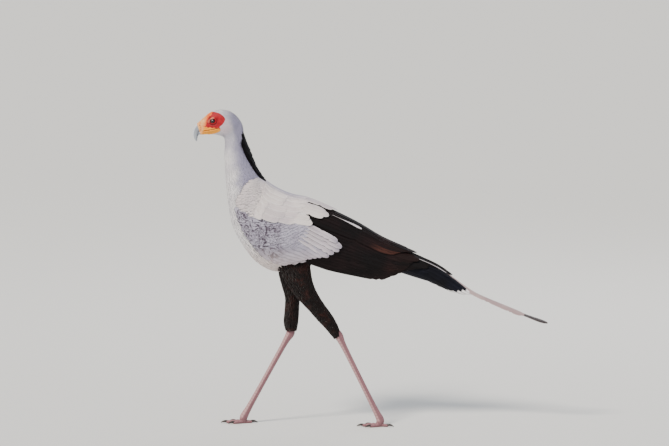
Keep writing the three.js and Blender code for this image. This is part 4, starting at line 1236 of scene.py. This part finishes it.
def faceMaterial():
    # Bare skin of the face: thin and warm, crimson round the eye, orange along the forehead, yellow at
    # the gape and paler on the cere, with a pebbled grain and a soft shine where it is stretched
    material, add, shader = newMaterial("bareFaceSkin")
    where = add("TexCoord").outputs["Object"]
    patches = add("TexNoise", {"Vector": where, "Scale": 130.0, "Detail": 4.0})
    pebble = add("TexVoronoi", {"Vector": where, "Scale": 750.0})
    spread = add("MapRange", [patches, 0.2, 0.8])
    tone = add("Mix", {0: spread, 6: "#dc3f08", 7: "#f5802e"}, data_type="RGBA")
    for title, dark, pale in (("red", "#7a0009", "#bc0820"), ("lid", "#e88560", "#f2a888"),
                              ("gape", "#e57d08", "#fbb32c"), ("cere", "#dd7414", "#f2c486")):
        skinTone = add("Mix", {0: spread, 6: dark, 7: pale}, data_type="RGBA")
        mask = add("Attribute", attribute_name=title).outputs["Fac"]
        tone = add("Mix", {0: mask, 6: tone, 7: skinTone}, data_type="RGBA")
    # painted shade in the sunken folds, socket, mouth line and nostril
    foldShade = add("Attribute", attribute_name="foldShade").outputs["Fac"]
    foldShadeAmount = add("MapRange", {0: foldShade, 1: 0.58, 2: 0.95, 4: 0.8})
    tone = add("Mix", {0: foldShadeAmount, 6: tone, 7: "#3c0608"}, data_type="RGBA")
    bare = add("Attribute", attribute_name="bare").outputs["Fac"]
    tone = add("Mix", {0: bare, 6: "#c3bdc4", 7: tone}, data_type="RGBA")
    bump = add("Bump", {"Strength": 0.4, "Distance": 0.0004, "Height": pebble})
    fill(shader, {"Base Color": tone, "Normal": bump, "Roughness": 0.55, "Specular IOR Level": 0.3})
    return material


def hornMaterial(name, dark, pale, gloss, scale):
    # Horn: layered keratin, glossy where it is worn, with growth lines along it
    material, add, shader = newMaterial(name)
    where = add("TexCoord").outputs["Object"]
    stretched = add("Mapping", {0: where, 3: scale})
    grain = add("TexNoise", {"Vector": stretched, "Scale": 60.0, "Detail": 4.0})
    # edge: on the bill a painted highlight along the ridge and painted shade along its lower side; fixed
    # and dark on claws and lashes
    edge = add("Attribute", attribute_name="edge").outputs["Fac"]
    blend = add("Math", [grain, 0.6, edge], operation="MULTIPLY_ADD")
    share = add("MapRange", [blend, 0.15, 1.1])
    tone = add("Mix", {0: share, 6: dark, 7: pale}, data_type="RGBA")
    bump = add("Bump", {"Strength": 0.15, "Distance": 0.0003, "Height": grain})
    fill(shader, {"Base Color": tone, "Normal": bump, "Roughness": gloss})
    return material


def billPiece(name, form, start, squeeze, material):
    rings, around = 80, 56
    points, faces = loft(form, rings, around, 0.0, start=start)
    piece = makeObject(name, points, faces, material)
    spots = vectors(piece)
    u = np.concatenate([np.repeat(np.linspace(start, 1, rings), around), [start, 1]])
    s = section(form, u)
    taper = rounded(u, 0.93)[:, None]
    middle = s[:, :3] * mm
    spots = middle + (spots - middle) * np.maximum(taper, 0.02)
    lean = np.radians(s[:, 4])
    up = (spots[:, 0] / mm - s[:, 0]) * np.sin(lean) + (spots[:, 2] / mm - s[:, 2]) * np.cos(lean)
    up /= s[:, 3]
    spots[:, 1] *= 1 - squeeze * np.clip(np.abs(up), 0, 1) ** 2 * 0.5
    putPoints(piece, spots)
    # painted highlight along the top of the bill, painted shade along its lower side
    setAttribute(piece, "edge", 0.3 + 0.75 * smoothStep(up, 0.55, 1.0) - 0.35 * smoothStep(-up, 0.2, 0.9))
    return smooth(faceOutwards(piece))


def eyePiece(name, side):
    ringCount, pointCount = 36, 56
    radius = head["eyeRadius"] * mm
    points = []
    for r in range(ringCount + 1):
        polar = math.pi * r / ringCount
        bulge = radius * (1 + 0.09 * math.exp(-(polar / 0.45) ** 2))
        for k in range(pointCount):
            turn = 2 * math.pi * k / pointCount
            points.append((head["eyeX"] * mm + bulge * math.sin(polar) * math.cos(turn),
                           side * (head["eyeY"] * mm + bulge * math.cos(polar)),
                           head["eyeZ"] * mm + bulge * math.sin(polar) * math.sin(turn)))
    faces = ringFaces(ringCount + 1, pointCount)
    piece = makeObject(name, points, faces, finishes["eye"])
    return smooth(faceOutwards(piece, weld=1e-6))


def eyeMaterial():
    # Eye: wet cornea over a dark hazel iris with a round black pupil
    material, add, shader = newMaterial("wetEye")
    where = add("TexCoord").outputs["Object"]
    place = add("SeparateXYZ", [where])
    side = add("CombineXYZ", {0: place.outputs[0], 2: place.outputs[2]})
    out = add("VectorMath", [side, (head["eyeX"] * mm, 0, head["eyeZ"] * mm)], operation="DISTANCE")
    fibres = add("TexNoise", {"Vector": where, "Scale": 900.0, "Detail": 2.0})
    iris = add("Mix", {0: fibres, 6: "#141011", 7: "#3a2e2b"}, data_type="RGBA")
    rim = add("MapRange", [out, 0.0062, 0.0072])
    tone = add("Mix", {0: rim, 6: iris, 7: "#120c0b"}, data_type="RGBA")
    pupil = add("MapRange", [out, 0.0038, 0.0034])
    tone = add("Mix", {0: pupil, 6: tone, 7: "#020203"}, data_type="RGBA")
    fill(shader, {"Base Color": tone, "Roughness": 0.06, "Coat Weight": 0.3, "Coat Roughness": 0.02})
    return material


def lashes(name, material):
    sizes = {"count": 13, "first": 18, "last": 162, "length": 8.0, "base": 0.28, "steps": 5, "sides": 4}
    points, faces = [], []
    for side in (1, -1):
        for i in range(sizes["count"]):
            share = i / (sizes["count"] - 1)
            turn = math.radians(
                sizes["first"] + (sizes["last"] - sizes["first"]) * share + draw.uniform(-3, 3))
            root = np.array([head["eyeX"] + 1.16 * 9.0 * math.cos(turn), head["eyeY"] + 8.0,
                             head["eyeZ"] + 0.93 * 9.0 * math.sin(turn)])
            out = np.array([math.cos(turn) - 0.35, 1.0, 0.55 * math.sin(turn)])
            out /= np.linalg.norm(out)
            length = sizes["length"] * (0.7 + 0.4 * math.sin(math.pi * share)) * draw.uniform(0.9, 1.1)
            base = len(points)
            for j in range(sizes["steps"] + 1):
                t = j / sizes["steps"]
                spot = root + out * length * t + np.array([-0.8, -0.6, 1.2]) * length * 0.3 * t * t
                wide = sizes["base"] * (1 - 0.85 * t)
                for k in range(sizes["sides"]):
                    a = 2 * math.pi * k / sizes["sides"]
                    p = spot + wide * np.array([math.cos(a), 0, math.sin(a)])
                    points.append((p[0] * mm, side * p[1] * mm, p[2] * mm))
            n = sizes["sides"]
            faces += ringFaces(sizes["steps"] + 1, n, base)
            faces.append(tuple(base + k for k in range(n)))
            faces.append(tuple(base + sizes["steps"] * n + k for k in range(n)))
    return smooth(faceOutwards(makeObject(name, points, faces, material)))


finishes["face"] = faceMaterial()
finishes["bill"] = hornMaterial("billHorn", "#3e4557", "#cdd3da", 0.32, (1, 1, 0.35))
finishes["claw"] = hornMaterial("clawHorn", "#1c1716", "#4a3f3a", 0.35, (0.4, 1, 1))
finishes["eye"] = eyeMaterial()
faceSkin = headSkin()
upperHorn = billPiece("upperHorn", "upperBill", 0.36, 0.18, finishes["bill"])
lowerHorn = billPiece("lowerHorn", "lowerBill", 0.5, 0.0, finishes["bill"])
eyes = {name: eyePiece(f"eye_{name}_glass", side) for name, side in sides.items()}
lashPiece = lashes("lashes", finishes["claw"])
setAttribute(lashPiece, "edge", np.zeros(len(lashPiece.data.vertices)))
handOver(faceSkin, "face_skin", "head", "cere")
handOver(upperHorn, "horn", "bill_upper")
handOver(lowerHorn, "horn", "bill_lower")
handOver(lashPiece, "claw_horn")
for name in sides:
    handOver(eyes[name], "eye", f"eye_{name}")
print("head", len(faceSkin.data.polygons))


# Legs: one scaled skin from the hock to the toe tips, and the claws

legs = {
    "left": {"side": 1, "knee": (132, 37, 342), "hock": (110, 35, 313), "foot": (-33, 52, 24)},
    "right": {"side": -1, "knee": (271, -38, 345), "hock": (272, -38, 312), "foot": (431, -28, 24)}}
toes = [("inner", -30, 42, 7, 7.5), ("middle", 0, 60, 7.5, 8), ("outer", 32, 40, 7, 7.5),
        ("hind", 168, 27, 6.5, 6.5)]
scales = {"front": 10.5, "frontRise": 0.75, "back": 8.0, "backRise": 0.5, "small": 3.6, "smallRise": 0.22,
          "toe": 4.4, "toeRise": 0.5, "voxel": 1.0 * mm}
clawSizes = {"length": 20, "sunk": 4, "high": 4.3, "wide": 3.3}


def limb(joints, pointCount, between):  # joints x, y, z, half its length fore and aft, half its width
    joints = np.array(joints, float)
    rows = curve(joints, np.linspace(0, len(joints) - 1, (len(joints) - 1) * between + 1))
    along = np.gradient(rows[:, :3], axis=0)
    along /= np.linalg.norm(along, axis=1, keepdims=True)
    across = np.array([0, 1.0, 0]) - along * along[:, 1:2]
    steep = np.linalg.norm(across, axis=1) < 0.35
    across[steep] = (np.array([0, 0, 1.0]) - along * along[:, 2:3])[steep]
    across /= np.linalg.norm(across, axis=1, keepdims=True)
    front = np.cross(across, along)
    turn = 2 * np.pi * np.arange(pointCount) / pointCount
    return tube((rows[:, None, :3] + rows[:, 3, None, None] * front[:, None] * np.cos(turn)[None, :, None]
                 + rows[:, 4, None, None] * across[:, None] * np.sin(turn)[None, :, None]) * mm)


def toeJoint(leg, turn, run, height, high, wide):  # turn is how far the toe points off straight ahead
    heading = math.radians(turn) * leg["side"]
    return (leg["foot"][0] + run * math.cos(heading), leg["foot"][1] + run * math.sin(heading),
            height, high, wide)


def legSkin(name, leg):
    hock, foot = np.array(leg["hock"], float), np.array(leg["foot"], float)

    def joint(share, fore, wide):
        return *(hock + (foot - hock) * share), fore, wide

    solids = [limb(
        [(*leg["knee"], 10, 9), joint(0, 14.5, 12.5), joint(0.09, 11, 9.5), joint(0.22, 9.2, 7.5),
         joint(0.6, 8.8, 7), joint(0.88, 10, 8.5), joint(1, 13, 12), (foot[0] + 3, foot[1], 9, 12, 11)],
        40, 12)]
    for _, turn, length, high, wide in toes:
        place = functools.partial(toeJoint, leg, turn)
        pads = [place(-2, 9, 9.5, wide * 1.15)]
        for share, swell in ((0.2, 1.0), (0.36, 1.06), (0.5, 0.92), (0.64, 1.0), (0.78, 0.84), (0.9, 0.86)):
            pads.append(place(
                length * share, high * 0.74 * swell, high * 0.86 * swell, wide * 0.95 * swell))
        pads.append(place(length, high * 0.72, high * 0.5, wide * 0.5))
        solids.append(limb(pads, 28, 6))
    piece = voxelUnion(f"legSkin_{name}", solids, scales["voxel"], finishes["leg"])
    relax(piece, 4)
    points, normals = vectors(piece), vectors(piece, "normal")
    spots = points / mm
    axis = (foot - hock) / np.linalg.norm(foot - hock)
    front = np.array([-axis[2], 0, axis[0]])
    front /= np.linalg.norm(front)
    t = (spots - hock) @ axis
    rel = spots - hock - t[:, None] * axis
    aside = np.cross(axis, front)
    turn = np.arctan2(rel @ aside, rel @ front)
    shank = smoothStep(t, 1, 9) * smoothStep(spots[:, 2], 14, 22)

    def plates(distance, period):  # each plate rises to its lower edge, then drops to the next one
        share = np.mod(distance / period, 1.0)
        return np.where(share < 0.84, share / 0.84, (1 - share) / 0.16)

    wave = t + 1.2 * np.cos(turn) + 0.6 * np.sin(0.07 * t)
    inFront = smoothStep(np.cos(turn), 0.1, 0.3)
    behind = smoothStep(-np.cos(turn), 0.55, 0.75)
    around = turn * 8.5
    hexes = sum(np.cos(2 * np.pi * way / scales["small"])
                for way in (t, 0.5 * t + 0.87 * around, 0.5 * t - 0.87 * around)) / 3
    rise = shank * (inFront * scales["frontRise"] * plates(wave, scales["front"])
                    + behind * scales["backRise"] * plates(wave + 3, scales["back"])
                    + (1 - inFront - behind) * scales["smallRise"] * hexes)
    low = 1 - smoothStep(spots[:, 2], 16, 26)
    best = np.full(len(spots), 1e9)
    run = np.zeros(len(spots))
    for _, heading, _, _, _ in toes:
        line = math.radians(heading) * leg["side"]
        way = np.array([math.cos(line), math.sin(line)])
        offset = spots[:, :2] - foot[:2]
        ahead = offset @ way
        apart = np.abs(offset @ np.array([-way[1], way[0]])) + 50 * (ahead < -2)
        run = np.where(apart < best, ahead, run)
        best = np.minimum(apart, best)
    top = smoothStep(normals[:, 2], 0.0, 0.5)
    under = smoothStep(-normals[:, 2], 0.1, 0.6)
    rise += low * (top * scales["toeRise"] * plates(run, scales["toe"])
                   + under * 0.3 * np.cos(2 * np.pi * run / 2.4))
    points += normals * (rise * mm)[:, None]
    points[:, 2] = np.maximum(points[:, 2], 0.0)
    putPoints(piece, points)
    setAttribute(piece, "plate", np.clip(rise / scales["frontRise"], 0, 1))
    # the front of the shank, made paler in the leg material, partly as a painted highlight
    setAttribute(piece, "front", inFront * shank)
    return smooth(piece)


def legMaterial():
    # Leg scales: dry horny plates over pinkish flesh, pale on the plates and darker in the grooves
    material, add, shader = newMaterial("scaledLegSkin")
    where = add("TexCoord").outputs["Object"]
    stain = add("TexNoise", {"Vector": where, "Scale": 48.0, "Detail": 4.0})
    fine = add("TexNoise", {"Vector": where, "Scale": 700.0, "Detail": 3.0})
    plate = add("Attribute", attribute_name="plate").outputs["Fac"]
    front = add("Attribute", attribute_name="front").outputs["Fac"]
    flesh = add("Mix", {0: stain, 6: "#7d4f56", 7: "#a1757a"}, data_type="RGBA")
    # paler front of the shank: partly its own paler scutes, partly a painted highlight
    pale = add("Math", [front, 0.4], operation="MULTIPLY")
    toned = add("Mix", {0: pale, 6: flesh, 7: "#cba9a6"}, data_type="RGBA")
    groove = add("MapRange", {0: plate, 1: 0.3, 2: 0.0, 4: 0.55})
    toned = add("Mix", {0: groove, 6: toned, 7: "#5e3a40"}, data_type="RGBA")
    bump = add("Bump", {"Strength": 0.25, "Distance": 0.0004, "Height": fine})
    fill(shader, {"Base Color": toned, "Normal": bump, "Roughness": 0.55})
    return material


def clawSet(name, leg):
    solids = []
    reach, high, wide = clawSizes["length"], clawSizes["high"], clawSizes["wide"]
    for _, turn, length, _, _ in toes:
        place = functools.partial(toeJoint, leg, turn)
        solids.append(limb([
            place(length - clawSizes["sunk"], 6.2, high, wide),
            place(length + reach * 0.3, 7, high * 0.92, wide * 0.9),
            place(length + reach * 0.7, 5.2, high * 0.6, wide * 0.6),
            place(length + reach, 1.9, 0.8, 0.7)], 20, 8))
    piece = makeObject(f"claws_{name}", *joined(solids), finishes["claw"])
    setAttribute(piece, "edge", np.full(len(piece.data.vertices), 0.1))
    return smooth(faceOutwards(piece))


finishes["leg"] = legMaterial()
legSkins = {name: legSkin(name, leg) for name, leg in legs.items()}
clawPieces = {name: clawSet(name, leg) for name, leg in legs.items()}
for name in sides:
    handOver(legSkins[name], "leg_skin", f"tarsus_{name}", f"foot_{name}")
    handOver(clawPieces[name], "claw_horn", *[f"claw_{name}_{toe[0]}" for toe in toes])
print("legs", [len(piece.data.polygons) for piece in legSkins.values()])


# Stage: a plain pale floor and soft studio light

def stageFloor():
    floor = makeObject("floor", [(-80, -80, 0), (80, -80, 0), (80, 80, 0), (-80, 80, 0)], [(0, 1, 2, 3)])
    material, add, shader = newMaterial("paleFloor")
    fill(shader, {"Base Color": "#dededb", "Roughness": 0.9})
    floor.data.materials.append(material)


def addLight(name, kind, tint, way, place=(0, 0, 0), **settings):  # it shines from place along way
    lamp = bpy.data.lights.new(name, kind)
    lamp.color = linear(tint)[:3]
    for key, value in settings.items():
        setattr(lamp, key, value)
    holder = bpy.data.objects.new(name, lamp)
    holder.location = place
    holder.rotation_euler = Vector(way).to_track_quat("-Z", "Y").to_euler()
    bpy.context.scene.collection.objects.link(holder)


stageFloor()
addLight("key", "SUN", "#fff6ea", (-0.62, -0.72, -0.95), energy=4.2, angle=math.radians(14))
for name, place, size, power, tint in (("fill", (-3.4, 3.6, 1.8), 3.0, 40, "#e8f0ff"),
                                       ("rim", (-1.5, -3.4, 3.4), 2.4, 60, "#f4f6ff")):
    addLight(name, "AREA", tint, Vector(lens["target"]) - Vector(place), place, size=size, energy=power)
world = bpy.data.worlds.new("studio")
world.use_nodes = True
fill(world.node_tree.nodes["Background"], {"Color": "#dfe4ea", "Strength": 0.8})
bpy.context.scene.world = world


# Hand over: each piece rides on the root body and takes the place of its CAD nodes

for spare in (bodyMould, wingMould):
    bpy.data.objects.remove(spare, do_unlink=True)
for piece, slotName, nodes in pieces:
    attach(piece, "root")
    if nodes:
        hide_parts(*nodes)
